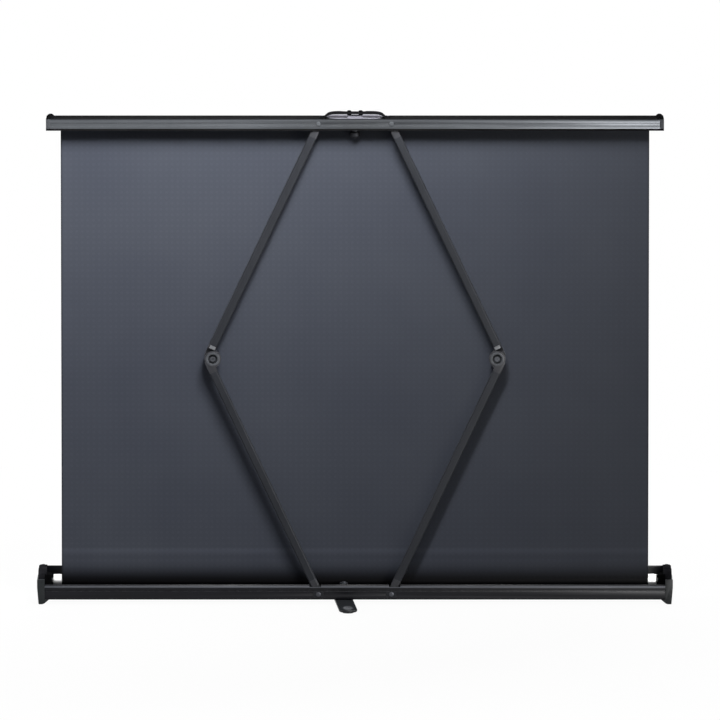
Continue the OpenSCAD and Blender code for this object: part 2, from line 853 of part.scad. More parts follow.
module lower_pivot_right() { lower_pivot(1); }
module lower_pivot_left() { lower_pivot(-1); }
module lower_tube_right() { lower_tube(1); }
module lower_tube_left() { lower_tube(-1); }
module lower_elbow_right() { lower_elbow(1); }
module lower_elbow_left() { lower_elbow(-1); }
module upper_elbow_right() { upper_elbow(1); }
module upper_elbow_left() { upper_elbow(-1); }
module upper_tube_right() { upper_tube(1); }
module upper_tube_left() { upper_tube(-1); }
module upper_pivot_right() { upper_pivot(1); }
module upper_pivot_left() { upper_pivot(-1); }

module elbow_screw(side) {
    d0 = arm_d0 + recess_t - screw_head_t;
    color([0.7, 0.7, 0.72]) difference() {
        union() {
            bar_y(side * elbow_x, elbow_z, d0, d0 + screw_head_t, screw_head_r);
            bar_y(side * elbow_x, elbow_z, d0 + eps, up_ring_d1 + run_gap + nut_t, shank_r);
        }
        translate([side * elbow_x, y_at(d0 + socket_t), elbow_z]) rotate([-90, 0, 0])
            cylinder(r = socket_r, h = socket_t + 1, $fn = nut_sides);
    }
}

module elbow_washer(side) {
    color([0.85, 0.85, 0.82]) difference() {
        bar_y(side * elbow_x, elbow_z, low_ring_d1, up_ring_d0 - run_gap, low_ring_r - 1);
        bar_y(side * elbow_x, elbow_z, low_ring_d1 - 1, up_ring_d0 + 1, shank_r + fix_gap);
    }
}

module elbow_nut(side) {
    d0 = up_ring_d1 + run_gap;
    color([0.7, 0.7, 0.72]) difference() {
        translate([side * elbow_x, y_at(d0 + nut_t), elbow_z]) rotate([-90, 0, 0])
            cylinder(r = nut_r, h = nut_t, $fn = nut_sides);
        bar_y(side * elbow_x, elbow_z, d0 - 1, d0 + nut_t + 1, shank_r + fix_gap);
    }
}

module elbow_screw_right() { elbow_screw(1); }
module elbow_screw_left() { elbow_screw(-1); }
module elbow_washer_right() { elbow_washer(1); }
module elbow_washer_left() { elbow_washer(-1); }
module elbow_nut_right() { elbow_nut(1); }
module elbow_nut_left() { elbow_nut(-1); }

// LID

module lid_outline() {
    polygon([
        [0, lid_z],
        [lid_t, lid_z],
        [lid_t, lid_under],
        [lid_depth - lid_t, lid_under],
        [lid_depth - lid_t, lid_under - lid_front_lip],
        [lid_depth, lid_under - lid_front_lip],
        [lid_depth, lid_top - 0.5],
        [lid_depth - 0.5, lid_top],
        [lid_shoulder_d, lid_top],
        [0, lid_top - lid_shoulder],
        [0, lid_z + lid_groove_z + lid_groove_h],
        [lid_groove_t, lid_z + lid_groove_z + lid_groove_h - 0.3],
        [lid_groove_t, lid_z + lid_groove_z + 0.3],
        [0, lid_z + lid_groove_z]
    ]);
}

module lid_profile() {
    half = lid_half - lid_cap_t;
    color([0.2, 0.2, 0.22]) difference() {
        along_x(-half, half) lid_outline();
        for (side = [-1, 1]) {
            bar_y(side * pivot_x, lid_pivot_z, -1, lid_t + 1, shank_r + fix_gap);
            bar_z(side * tab_x, handle_depth, lid_under - 1, lid_top + 1, clamp_screw_r + fix_gap);
        }
        bar_z(0, handle_depth, lid_under - 1, lid_top + 1, bush_r + fix_gap);
    }
}

module lid_cap(side) {
    x0 = lid_half - lid_cap_t;
    bump_r = lid_cap_t;
    color([0.08, 0.08, 0.09]) on_side(side) {
        block(x0, lid_half, 0, block_d0 - 2, lid_z, lid_top);
        block(x0, lid_half, block_d0 - 2 - eps, lid_depth, lid_under - lid_front_lip - 1.2, lid_top);
        intersection() {
            translate([lid_half - bump_r, 0, lid_top + lid_bump - bump_r]) rotate([90, 0, 0])
                translate([0, 0, -y_at(2)]) cylinder(r = bump_r, h = lid_depth - 4);
            block(x0 - bump_r, lid_half, 0, lid_depth, lid_top, lid_top + lid_bump + 1);
        }
    }
}

module lid_cap_right() { lid_cap(1); }
module lid_cap_left() { lid_cap(-1); }

module lid_rivets() {
    color([0.7, 0.7, 0.72]) for (side = [-1, 1]) rivet(side * pivot_x, lid_pivot_z, 0);
}

module lid_washers() {
    color([0.85, 0.85, 0.82])
        for (side = [-1, 1]) washer_y(side * pivot_x, lid_pivot_z, lid_t, tang_d0 - run_gap);
}

module cloth_batten() {
    color([0.1, 0.1, 0.11])
        block(-cloth_w / 2, cloth_w / 2, cloth_d - batten_side, cloth_d, lid_under - batten_side, lid_under);
}

// HANDLE AND LATCH

// The light plate with round ends on the lid, between the strap's ends
module handle_plate() {
    mid = (plate_d0 + plate_d1) / 2;
    end_r = (plate_d1 - plate_d0) / 2;
    end_x = plate_len / 2 - end_r;
    color([0.8, 0.8, 0.85]) difference() {
        union() {
            block(-end_x, end_x, plate_d0, plate_d1, lid_top, strap_under);
            for (side = [-1, 1]) bar_z(side * end_x, mid, lid_top, strap_under, end_r);
        }
        bar_z(0, handle_depth, lid_top - 1, strap_under + 1, bush_r + fix_gap);
    }
}

// The strap's underside over the plate: an arch with a flat top, down to tabs on the lid
function strap_z(x) =
    let (half = strap_len / 2 - strap_tab, u = min(abs(x) / half, 1))
    strap_gap - (strap_gap + plate_t) * pow(u, strap_power);

module handle_strap() {
    half = strap_len / 2;
    arch = half - strap_tab;
    steps = 32;
    xs = concat([-half], [for (i = [0 : steps]) arch * (2 * i / steps - 1)], [half]);
    under = [for (x = xs) [x, strap_under + strap_z(x)]];
    over = [for (i = [len(xs) - 1 : -1 : 0]) [xs[i], strap_under + strap_z(xs[i]) + strap_t]];
    slot_x = ear_t / 2 + ear_slot_gap;
    slot_d = ear_w / 2 + ear_slot_gap;
    color([0.1, 0.1, 0.1]) difference() {
        translate([0, y_at(handle_depth - strap_w / 2), 0]) rotate([90, 0, 0])
            linear_extrude(height = strap_w) polygon(concat(under, over));
        for (side = [-1, 1]) {
            block(side * ear_x - slot_x, side * ear_x + slot_x, handle_depth - slot_d, handle_depth + slot_d,
                strap_under, strap_under + strap_gap + strap_t + 1);
            bar_z(side * tab_x, handle_depth, lid_top - 1, lid_top + strap_t + 1, clamp_screw_r + fix_gap);
        }
    }
}

module handle_clamps() {
    z0 = lid_top + strap_t + fix_gap;
    color([0.08, 0.08, 0.08])
        for (side = [-1, 1]) difference() {
            translate([side * tab_x, 0, 0])
                block(-strap_tab / 2, strap_tab / 2, handle_depth - strap_w / 2, handle_depth + strap_w / 2,
                    z0, z0 + clamp_t);
            bar_z(side * tab_x, handle_depth, z0 - 1, z0 + clamp_t + 1, clamp_screw_r + fix_gap);
        }
}

module handle_screws() {
    z1 = lid_top + strap_t + fix_gap + clamp_t;
    color([0.6, 0.6, 0.62])
        for (side = [-1, 1]) {
            x = side * tab_x;
            bar_z(x, handle_depth, lid_under - 1.5, z1 + eps, clamp_screw_r);
            bar_z(x, handle_depth, z1, z1 + clamp_head_t, clamp_head_r);
        }
}

module latch_bush() {
    color([0.85, 0.85, 0.82]) difference() {
        union() {
            bar_z(0, handle_depth, lid_under - bush_flange_t, lid_top + plate_t, bush_r);
            bar_z(0, handle_depth, lid_under - bush_flange_t, lid_under, bush_flange_r);
        }
        bar_z(0, handle_depth, lid_under - bush_flange_t - 1, lid_top + plate_t + 1, bush_bore);
    }
}

module latch_spring() {
    color([0.6, 0.6, 0.62]) difference() {
        bar_z(0, handle_depth, stud_z + stud_h + 0.05, lid_under - bush_flange_t - 0.05, latch_spring_r1);
        bar_z(0, handle_depth, stud_z + stud_h - 1, lid_under, latch_spring_r0);
    }
}

module handle_yoke() {
    z0 = strap_under + yoke_lift;
    color([0.08, 0.08, 0.08]) {
        block(-yoke_len / 2, yoke_len / 2, handle_depth - yoke_w / 2, handle_depth + yoke_w / 2,
            z0, z0 + yoke_t);
        for (side = [-1, 1])
            block(side * ear_x - ear_t / 2, side * ear_x + ear_t / 2,
                handle_depth - ear_w / 2, handle_depth + ear_w / 2, z0 + yoke_t - eps, lid_top + ear_top);
        bar_z(0, handle_depth, stud_z + stud_head_h, z0 + eps, stem_r);
    }
}

// The knob that locks into the keeper, rounded below, on a narrower neck
module latch_stud() {
    neck_r = stud_r * 0.62;
    flank_r = stud_r * 0.85;
    color([0.75, 0.75, 0.77]) difference() {
        translate([0, y_at(handle_depth), stud_z]) {
            cylinder(r1 = stud_r * 0.5, r2 = flank_r, h = stud_nose);
            translate([0, 0, stud_nose]) cylinder(r1 = flank_r, r2 = stud_r, h = stud_nose);
            translate([0, 0, 2 * stud_nose]) cylinder(r = stud_r, h = stud_band);
            translate([0, 0, 2 * stud_nose + stud_band]) cylinder(r1 = stud_r, r2 = neck_r, h = stud_nose);
            cylinder(r = neck_r, h = stud_h);
        }
        bar_z(0, handle_depth, stud_z + stud_head_h - eps, stud_z + stud_h + 1, stem_r + fix_gap);
    }
}

base_profile();
base_cap_right();
base_cap_left();
base_cap_screws();
base_pads();
latch_keeper();
base_bosses();
base_rivets();
base_washers();
foot_bolt();
foot_washers();
foot_spring();
foot_nut();
foot_bar();
foot_pads();
roller_tube();
roller_plug_right();
roller_plug_left();
cloth_roll();
spring_arbor();
torsion_spring();
screen_cloth();
viewing_surface();
lower_pivot_right();
lower_tube_right();
lower_elbow_right();
lower_pivot_left();
lower_tube_left();
lower_elbow_left();
upper_elbow_right();
upper_tube_right();
upper_pivot_right();
upper_elbow_left();
upper_tube_left();
upper_pivot_left();
elbow_screw_right();
elbow_washer_right();
elbow_nut_right();
elbow_screw_left();
elbow_washer_left();
elbow_nut_left();
lid_profile();
lid_cap_right();
lid_cap_left();
lid_rivets();
lid_washers();
cloth_batten();
handle_plate();
handle_clamps();
handle_screws();
handle_strap();
latch_bush();
latch_spring();
handle_yoke();
latch_stud();
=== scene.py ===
"""Looks of the tabletop projection screen: finishes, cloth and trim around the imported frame.

Sizes in the classes are millimetres, turned to Blender's metres where a mesh or a node needs them.
X runs to the right as seen from the viewing side, the viewers are at -Y, and Z is up.
"""
from __future__ import annotations

import json
import logging
import math
from dataclasses import dataclass, replace
from enum import Enum
from typing import Any, Callable

import bmesh
import bpy
from bmesh.types import BMesh, BMVert
from bpy.types import Material, Node, NodeSocket, NodeTree, Object
from mathutils import Matrix, Vector

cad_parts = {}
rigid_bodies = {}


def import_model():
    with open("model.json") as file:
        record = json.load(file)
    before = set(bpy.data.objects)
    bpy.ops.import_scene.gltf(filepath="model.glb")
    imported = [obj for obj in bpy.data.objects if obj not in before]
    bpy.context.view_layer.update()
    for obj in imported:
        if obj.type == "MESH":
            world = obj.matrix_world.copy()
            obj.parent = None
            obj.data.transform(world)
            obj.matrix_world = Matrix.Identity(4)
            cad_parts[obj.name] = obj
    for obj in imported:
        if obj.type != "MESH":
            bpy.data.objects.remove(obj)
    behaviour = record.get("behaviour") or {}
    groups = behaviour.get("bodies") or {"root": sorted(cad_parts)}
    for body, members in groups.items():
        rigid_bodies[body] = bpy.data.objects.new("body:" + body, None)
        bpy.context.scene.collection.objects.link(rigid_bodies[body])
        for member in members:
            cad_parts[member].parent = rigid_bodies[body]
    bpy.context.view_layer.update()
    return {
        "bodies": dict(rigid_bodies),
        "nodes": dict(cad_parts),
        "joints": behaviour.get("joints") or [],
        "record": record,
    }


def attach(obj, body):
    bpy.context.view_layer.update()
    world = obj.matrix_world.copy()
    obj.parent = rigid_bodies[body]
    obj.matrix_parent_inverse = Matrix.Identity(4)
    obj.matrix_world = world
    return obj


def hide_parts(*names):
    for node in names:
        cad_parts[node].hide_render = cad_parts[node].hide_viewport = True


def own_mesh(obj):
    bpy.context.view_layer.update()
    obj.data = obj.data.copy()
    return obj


LOG = logging.getLogger("screen")
MM = 0.001
ALONG_X, ALONG_Y, ALONG_Z = (Vector(way) for way in ((1, 0, 0), (0, 1, 0), (0, 0, 1)))
SIDES = ("right", "left")
# The case's rear face
REAR_Y = 16.0
# The degrees that a raised arm leans, the foot's pivot, and the degrees that the foot is turned
ARM_LEAN = 24.05
FOOT_X = 16.2
FOOT_LEAN = 3.5
# Points closer than this are joined, faces within this angle become one, and an edge that turns
# by more than this angle is sharp
MERGE = 0.004
COPLANAR = 0.6
SHARP = 32.0
# How much of a face's normal has to point one way for it to slope, face or lie square that way
SLOPING = 0.3
FACING = 0.5
SQUARE = 0.9
# The radians that a wave texture of scale 1 turns in one metre
WAVE_RATE = 20.0


def at(x: float, depth: float, z: float) -> Vector:
    """Turns a place in millimetres, with its depth forward of the case's rear face, into a point.

    Args:
        x: Distance to the right of the middle.
        depth: Distance forward of the rear face.
        z: Height above the floor.

    Returns:
        The point in metres.
    """
    return Vector((x, REAR_Y - depth, z)) * MM


def linear(code: str) -> tuple[float, float, float, float]:
    """Turns an sRGB hex colour into linear values.

    Args:
        code: Six hex digits after a hash.

    Returns:
        Red, green, blue and an alpha of 1.
    """
    parts = [int(code[i:i + 2], 16) / 255 for i in (1, 3, 5)]
    return (*(c / 12.92 if c <= 0.04045 else ((c + 0.055) / 1.055) ** 2.4 for c in parts), 1.0)


def add_node(tree: NodeTree, kind: str, inputs: dict[Any, Any] | None = None,
             **settings: Any) -> Node:
    """Adds a node with its settings, values and links.

    Args:
        tree: The node tree that gets it.
        kind: The node's type name, without the word ShaderNode in front.
        inputs: By name or number, a value, a socket, or a node whose first output is linked.
        settings: Properties of the node itself.

    Returns:
        The new node.
    """
    node = tree.nodes.new("ShaderNode" + kind)
    for key, value in settings.items():
        setattr(node, key, value)
    for key, value in (inputs or {}).items():
        source = value.outputs[0] if isinstance(value, Node) else value
        if isinstance(source, NodeSocket):
            tree.links.new(source, node.inputs[key])
        else:
            node.inputs[key].default_value = source
    return node


class Grain(Enum):
    """The kinds of fine surface pattern."""

    PEBBLE = "pebble"
    DRAWN = "drawn"
    WEAVE = "weave"
    PEEL = "peel"


@dataclass(frozen=True)
class Finish:
    """A surface as it is made: two tones in soft patches, a fine grain and worn edges."""

    name: str
    tone: str
    second: str
    roughness: float
    metallic: float = 0.0
    specular: float = 0.5
    spread: float = 0.06
    patch: float = 60.0
    grain: Grain = Grain.PEBBLE
    pitch: float = 0.8
    drawn: float = 90.0
    depth: float = 0.02
    speckle: float = 0.12
    turn: float = 0.0
    wear: float = 0.0
    wear_r: float = 0.5
    wear_patch: float = 7.0
    worn: str = "#8d8f93"
    coat: float = 0.0

    def pattern(self, tree: NodeTree, place: NodeSocket) -> Node:
        """Adds the fine grain.

        Args:
            tree: The material's node tree.
            place: The socket with the place on the piece.

        Returns:
            A node whose first output runs from 0 to 1 over the grain.
        """
        step = 1 / (self.pitch * MM)
        if self.grain is Grain.DRAWN:
            along = 1 / (self.drawn * MM)
            scale = (step, step, along) if self.turn else (along, step, step)
            lines = add_node(tree, "Mapping", {
                "Vector": place, "Rotation": (0, math.radians(self.turn), 0), "Scale": scale})
            return add_node(tree, "TexNoise", {"Vector": lines, "Scale": 1.0, "Detail": 3.0})
        if self.grain is Grain.WEAVE:
            warp, weft = (
                add_node(tree, "TexWave", {
                    "Vector": place, "Scale": 2 * math.pi * step / WAVE_RATE, "Distortion": 0.6,
                    "Detail": 2.0, "Detail Scale": 2.0}, bands_direction=way).outputs[1]
                for way in ("X", "Z"))
            return add_node(tree, "Math", {0: warp, 1: weft}, operation="MULTIPLY")
        detail = 5.0 if self.grain is Grain.PEBBLE else 1.5
        return add_node(tree, "TexNoise", {
            "Vector": place, "Scale": step, "Detail": detail, "Roughness": 0.6})

    def colour(self, tree: NodeTree, place: NodeSocket) -> NodeSocket:
        """Adds the soft patches of the two tones.

        Args:
            tree: The material's node tree.
            place: The socket with the place on the piece.

        Returns:
            A colour socket.
        """
        patches = add_node(tree, "TexNoise", {
            "Vector": place, "Scale": 1 / (self.patch * MM), "Detail": 4.0, "Roughness": 0.55})
        share = add_node(tree, "MapRange", {"Value": patches, "From Min": 0.32, "From Max": 0.68})
        return add_node(tree, "Mix", {0: share, 6: linear(self.tone), 7: linear(self.second)},
                        data_type="RGBA").outputs[2]

    def worn_edges(self, tree: NodeTree, place: NodeSocket) -> Node:
        """Finds the sharp edges, broken up as handling wears them.

        Args:
            tree: The material's node tree.
            place: The socket with the place on the piece.

        Returns:
            A node whose first output is above 0 along worn edges.
        """
        round_normal = add_node(tree, "Bevel", {"Radius": self.wear_r * MM}, samples=4)
        flat_normal = add_node(tree, "NewGeometry").outputs["Normal"]
        turned = add_node(tree, "VectorMath", {0: round_normal, 1: flat_normal},
                          operation="DOT_PRODUCT").outputs["Value"]
        edge = add_node(tree, "MapRange", {"Value": turned, "From Min": 0.995, "From Max": 0.9})
        broken = add_node(tree, "TexNoise", {
            "Vector": place, "Scale": 1 / (self.wear_patch * MM), "Detail": 3.0})
        share = add_node(tree, "MapRange", {
            "Value": broken, "From Min": 0.4, "From Max": 0.65, "To Max": self.wear})
        return add_node(tree, "Math", {0: edge, 1: share}, operation="MULTIPLY")

    def material(self) -> Material:
        """Makes the finish's material, once.

        Returns:
            The material.
        """
        made = bpy.data.materials.get(self.name)
        if made:
            return made
        made = bpy.data.materials.new(self.name)
        made.use_nodes = True
        tree = made.node_tree
        shader = tree.nodes["Principled BSDF"]
        place = add_node(tree, "TexCoord").outputs["Object"]
        grain = self.pattern(tree, place)
        span = {"Value": grain, "From Min": 0.3, "From Max": 0.7}
        fleck = add_node(tree, "MapRange", {
            **span, "To Min": 1 - self.speckle, "To Max": 1 + self.speckle})
        rough = add_node(tree, "MapRange", {
            **span, "To Min": self.roughness - self.spread, "To Max": self.roughness + self.spread})
        bump = add_node(tree, "Bump", {
            "Height": grain, "Strength": 0.6, "Distance": self.depth * MM})
        toned = add_node(tree, "VectorMath", {0: self.colour(tree, place), "Scale": fleck},
                         operation="SCALE").outputs[0]
        if self.wear > 0:
            worn = {0: self.worn_edges(tree, place), 6: toned, 7: linear(self.worn)}
            toned = add_node(tree, "Mix", worn, data_type="RGBA").outputs[2]
        tree.links.new(toned, shader.inputs["Base Color"])
        tree.links.new(rough.outputs[0], shader.inputs["Roughness"])
        tree.links.new(bump.outputs[0], shader.inputs["Normal"])
        shader.inputs["Metallic"].default_value = self.metallic
        shader.inputs["Specular IOR Level"].default_value = self.specular
        shader.inputs["Coat Weight"].default_value = self.coat
        return made


@dataclass(frozen=True)
class ClothFinish(Finish):
    """Coated cloth, painted darker towards its bottom as shade, with a painted highlight in a band
    where the viewing coat ends.
    """

    # Painted shade: the cloth turns near black towards the bottom, where it goes down to the roller
    painted_shade: str = "#060609"
    painted_shade_from: float = 31.0
    painted_shade_to: float = 62.0
    # Painted highlight: a brighter band along the height where the viewing coat ends
    band_highlight_z: float = 75.0
    band_highlight_w: float = 7.0
    band_highlight: float = 0.22
    # Darker towards the side edges
    side_dark_x: float = 424.0
    side_dark_w: float = 2.0
    side_dark: float = 0.55

    def colour(self, tree: NodeTree, place: NodeSocket) -> NodeSocket:
        """Adds the tones, the painted shade at the bottom, the painted highlight band and the
        darker side edges.

        Args:
            tree: The material's node tree.
            place: The socket with the place on the piece.

        Returns:
            A colour socket.
        """
        axes = add_node(tree, "SeparateXYZ", {0: place})
        # Painted shade towards the bottom
        up = add_node(tree, "MapRange", {
            "Value": axes.outputs["Z"], "From Min": self.painted_shade_from * MM,
            "From Max": self.painted_shade_to * MM}, interpolation_type="SMOOTHSTEP")
        tones = {0: up, 6: linear(self.painted_shade), 7: super().colour(tree, place)}
        drifted = add_node(tree, "Mix", tones, data_type="RGBA").outputs[2]
        # Painted highlight band
        off = add_node(tree, "Math", {0: axes.outputs["Z"], 1: self.band_highlight_z * MM},
                       operation="SUBTRACT")
        near = add_node(tree, "Math", {0: off}, operation="ABSOLUTE")
        glow = add_node(tree, "MapRange", {
            "Value": near, "From Min": 0, "From Max": self.band_highlight_w * MM,
            "To Min": 1 + self.band_highlight, "To Max": 1.0}, interpolation_type="SMOOTHSTEP")
        # Darker towards the side edges
        aside = add_node(tree, "Math", {0: axes.outputs["X"]}, operation="ABSOLUTE")
        edge = add_node(tree, "MapRange", {
            "Value": aside, "From Min": self.side_dark_x * MM, "From Max": (self.side_dark_x + self.side_dark_w) * MM,
            "To Min": 1.0, "To Max": self.side_dark})
        both = add_node(tree, "Math", {0: glow, 1: edge}, operation="MULTIPLY")
        return add_node(tree, "VectorMath", {0: drifted, "Scale": both},
                        operation="SCALE").outputs[0]


@dataclass(frozen=True)
class LidFinish(Finish):
    """Anodised skin, darkened round the carrying strap by painted shade."""

    dark: float = 0.62
    dark_to: float = 190.0

    def colour(self, tree: NodeTree, place: NodeSocket) -> NodeSocket:
        """Adds the tones and the darker middle, which is painted shade.

        Args:
            tree: The material's node tree.
            place: The socket with the place on the piece.

        Returns:
            A colour socket.
        """
        axes = add_node(tree, "SeparateXYZ", {0: place})
        aside = add_node(tree, "Math", {0: axes.outputs["X"]}, operation="ABSOLUTE")
        # Painted shade: the tone is darkened towards the middle
        share = add_node(tree, "MapRange", {
            "Value": aside, "From Min": 0, "From Max": self.dark_to * MM,
            "To Min": self.dark, "To Max": 1.0}, interpolation_type="SMOOTHSTEP")
        return add_node(tree, "VectorMath", {0: super().colour(tree, place), "Scale": share},
                        operation="SCALE").outputs[0]


@dataclass(frozen=True)
class FootFinish(Finish):
    """Powder coat with a long pale oval near each end of the foot, a painted highlight."""

    oval_highlight_y: float = 98.0
    oval_highlight_size: tuple[float, float] = (7.0, 18.0)
    oval_highlight: str = "#717377"

    def colour(self, tree: NodeTree, place: NodeSocket) -> NodeSocket:
        """Adds the tones and the two pale ovals of painted highlight.

        Args:
            tree: The material's node tree.
            place: The socket with the place on the piece.

        Returns:
            A colour socket.
        """
        # Painted highlight: a pale oval near each end of the foot
        turned = add_node(tree, "VectorRotate", {
            "Vector": place, "Angle": -math.radians(FOOT_LEAN), "Center": (FOOT_X * MM, 0, 0)},
            rotation_type="Z_AXIS")
        both = add_node(tree, "VectorMath", {0: turned}, operation="ABSOLUTE")
        off = add_node(tree, "VectorMath", {0: both, 1: (FOOT_X * MM, self.oval_highlight_y * MM, 0)},
                       operation="SUBTRACT")
        wide, long = self.oval_highlight_size
        shrunk = add_node(tree, "VectorMath", {0: off, 1: (1 / (wide * MM), 1 / (long * MM), 0)},
                          operation="MULTIPLY")
        reach = add_node(tree, "VectorMath", {0: shrunk}, operation="LENGTH").outputs["Value"]
        oval_highlight = add_node(tree, "MapRange", {"Value": reach, "From Min": 1.25, "From Max": 0.6},
                          interpolation_type="SMOOTHSTEP")
        tones = {0: oval_highlight, 6: super().colour(tree, place), 7: linear(self.oval_highlight)}
        return add_node(tree, "Mix", tones, data_type="RGBA").outputs[2]


# Black anodised aluminium: fine lines from the die, broken light along the edges
RAIL = Finish("anodised_rail", "#15161a", "#1b1c21", 0.4, specular=0.16, patch=140,
              grain=Grain.DRAWN, pitch=0.9, depth=0.006, speckle=0.1, wear=0.3)
# Painted highlight along the rail's top bevel: a band of it paler than the black
BEVEL_HIGHLIGHT = Finish("painted_bevel_highlight", "#54565c", "#606268", 0.5, metallic=0.1, specular=0.12, patch=120,
             grain=Grain.DRAWN, pitch=0.9, depth=0.006, speckle=0.1, wear=0.2)
# Grey anodised aluminium with a satin skin, brighter than the rail, with painted shade darkening
# its middle
LID = LidFinish("anodised_lid", "#4e5155", "#585b5f", 0.33, metallic=0.3, specular=0.2, patch=170,
                grain=Grain.DRAWN, pitch=0.9, depth=0.006, speckle=0.08, wear=0.3, worn="#a9abaf")
# Black painted shade on the lid's top, its underside and its rear face's lower lip, without gloss
# at a low angle
LID_SHADE = Finish("painted_shade_black", "#1b1b1c", "#222223", 0.9, specular=0.0, pitch=0.9,
                 speckle=0.15)
# The shoulder under the lid's top, blasted dull before anodising
SHOULDER = Finish("blasted_shoulder", "#303235", "#393b3e", 0.8, specular=0.0, patch=90,
                  pitch=0.9, depth=0.01, speckle=0.1)
# Drawn tube with a dull dark finish, its lines along the arm
TUBE_OUT = Finish("satin_tube_out", "#2c2e33", "#33353a", 0.5, metallic=0.1, specular=0.12,
                  patch=90, grain=Grain.DRAWN, pitch=0.7, depth=0.006, speckle=0.09,
                  turn=-ARM_LEAN, wear=0.12)
# The same tube on the arms that lean the other way
TUBE_IN = replace(TUBE_OUT, name="satin_tube_in", turn=ARM_LEAN)
# Moulded ABS with a spark-eroded grain, drawn coarser than its 0.2 mm so that it shows
MOULDING = Finish("moulded_abs", "#141415", "#1a1a1c", 0.5, specular=0.08, patch=35,
                  pitch=0.7, depth=0.03, speckle=0.15, wear=0.3, worn="#4b4c50")
# The same moulding on the end caps, greyed by handling where it is touched
CAP = Finish("handled_abs", "#2c2f31", "#353839", 0.46, specular=0.12, patch=22,
             pitch=0.7, depth=0.03, speckle=0.15, wear=0.4, worn="#77797b")
# Black moulding of the caps' domes, dull on its faces, pale along its edges partly from scuffs and
# partly as a painted highlight
DOME = Finish("scuffed_abs_and_highlight", "#1a1a1d", "#2b2b2e", 0.45, specular=0.0, patch=16,
              pitch=0.9, depth=0.01, wear=0.6, worn="#5c5d61")
# Grey moulding on the rear of the lid's caps, toned like the bar
FACE = Finish("grey_abs", "#414347", "#4c4e52", 0.5, specular=0.1, patch=9,
              pitch=0.6, speckle=0.14, wear=0.4, worn="#808286")
# Black moulding with a dull skin, whose top takes no shine; its black is painted shade on the end
# caps' bearing blocks and below the lid caps' lip
MATT = Finish("matt_abs_and_painted_shade", "#0f0f10", "#151516", 0.8, specular=0.0, patch=20,
              pitch=0.6, speckle=0.15)
# Glass-filled nylon knuckles, a little paler than the caps, with edges rubbed lighter
KNUCKLE = Finish("moulded_nylon", "#36373b", "#414247", 0.48, specular=0.2, patch=18,
                 pitch=0.6, speckle=0.1, wear=0.5, worn="#85868a")
# The same nylon where a rim stands proud and is worn to a paler grey; on the end caps' ledges the
# paler grey is a painted highlight
RIM = Finish("rubbed_nylon_and_ledge_highlight", "#4d4f54", "#5d6065", 0.42, specular=0.2, patch=7,
             pitch=0.6, speckle=0.14, wear=0.4, worn="#a3a5a9")
# The same nylon on the necks, palest where the tube ends as a painted highlight
NECK_HIGHLIGHT = Finish("painted_neck_highlight", "#77797d", "#8b8d91", 0.4, specular=0.3, patch=5,
              pitch=0.6, speckle=0.14)
# The same nylon in the recess: darker as painted shade, and without shine
RECESS_SHADE = Finish("painted_recess_shade", "#303236", "#393b3f", 0.7, specular=0.08, patch=6,
                pitch=0.6, speckle=0.15)
# Zinc-plated steel: bright, slightly cloudy
ZINC = Finish("zinc_steel", "#8a8c90", "#76787d", 0.38, metallic=0.9, patch=6, grain=Grain.PEEL,
              pitch=0.9, depth=0.008, speckle=0.08)
# Dulled steel of the rivets and screws that show at the rear
RIVET = Finish("dulled_steel", "#4b4d52", "#3f4146", 0.5, metallic=0.4, specular=0.2, patch=3,
               grain=Grain.PEEL, pitch=0.9, depth=0.01, speckle=0.1, wear=0.4, worn="#7d7f84")
# Blasted steel heads of the lid's rivets, hardly brighter than the bar
HEAD = Finish("blasted_steel", "#54575b", "#5e6165", 0.6, metallic=0.1, specular=0.08, patch=3,
              grain=Grain.PEEL, pitch=0.9, depth=0.01, speckle=0.1, wear=0.25)
# Blackened steel of the latch stud, dark with pale rubbed edges
STUD = Finish("blackened_steel", "#2b2c30", "#232427", 0.5, metallic=0.2, specular=0.1, patch=3,
              grain=Grain.PEEL, pitch=0.9, depth=0.01, speckle=0.1, wear=0.3, worn="#5d5f63")
# Spring steel, grey with a soft shine
SPRING = Finish("spring_steel", "#4a4c50", "#3b3d41", 0.45, metallic=0.5, specular=0.2, patch=8,
                grain=Grain.PEEL, depth=0.006, speckle=0.08)
# Natural nylon washers and bush: milky, off-white
NYLON = Finish("natural_nylon", "#bdbab0", "#aeaba1", 0.45, specular=0.3, patch=8, pitch=0.6,
               depth=0.01, speckle=0.06)
# Solid rubber with a dusty bloom
RUBBER = Finish("black_rubber", "#111112", "#1d1d1e", 0.85, specular=0.1, patch=9, pitch=0.5,
                depth=0.03, speckle=0.2)
# White pearl enamel on the roller tube, which mirrors the bright room softly
ENAMEL = Finish("white_pearl_enamel", "#fdfdfd", "#f9f9f8", 0.42, metallic=0.8, specular=0.6,
                patch=40, grain=Grain.PEEL, pitch=1.6, depth=0.01, speckle=0.01, coat=0.3)
# White moulded plugs, smooth and nearly even
PLUG = Finish("white_moulding", "#f0f0ed", "#e8e8e4", 0.5, specular=0.4, patch=12, pitch=0.6,
              depth=0.015, speckle=0.03)
# Powder coat on the steel foot: a low orange peel, with a painted highlight near each end
POWDER = FootFinish("powder_coat", "#1e2023", "#26282b", 0.38, specular=0.16, patch=30,
                    grain=Grain.PEEL, pitch=1.1, depth=0.03, speckle=0.08, wear=0.3)
# Pale matt lacquer of the strap's plate and the latch slide
PLATE = Finish("matt_lilac_lacquer", "#86858f", "#96959f", 0.6, specular=0.0, patch=20,
               grain=Grain.PEEL, pitch=1.2, depth=0.01, speckle=0.05)
# Flexible black vinyl of the strap, with a matt, slightly dusty skin
STRAP = Finish("flexible_vinyl", "#151517", "#1e1e20", 0.8, specular=0.0, patch=14,
               depth=0.03, speckle=0.15, wear=0.2, worn="#333437")
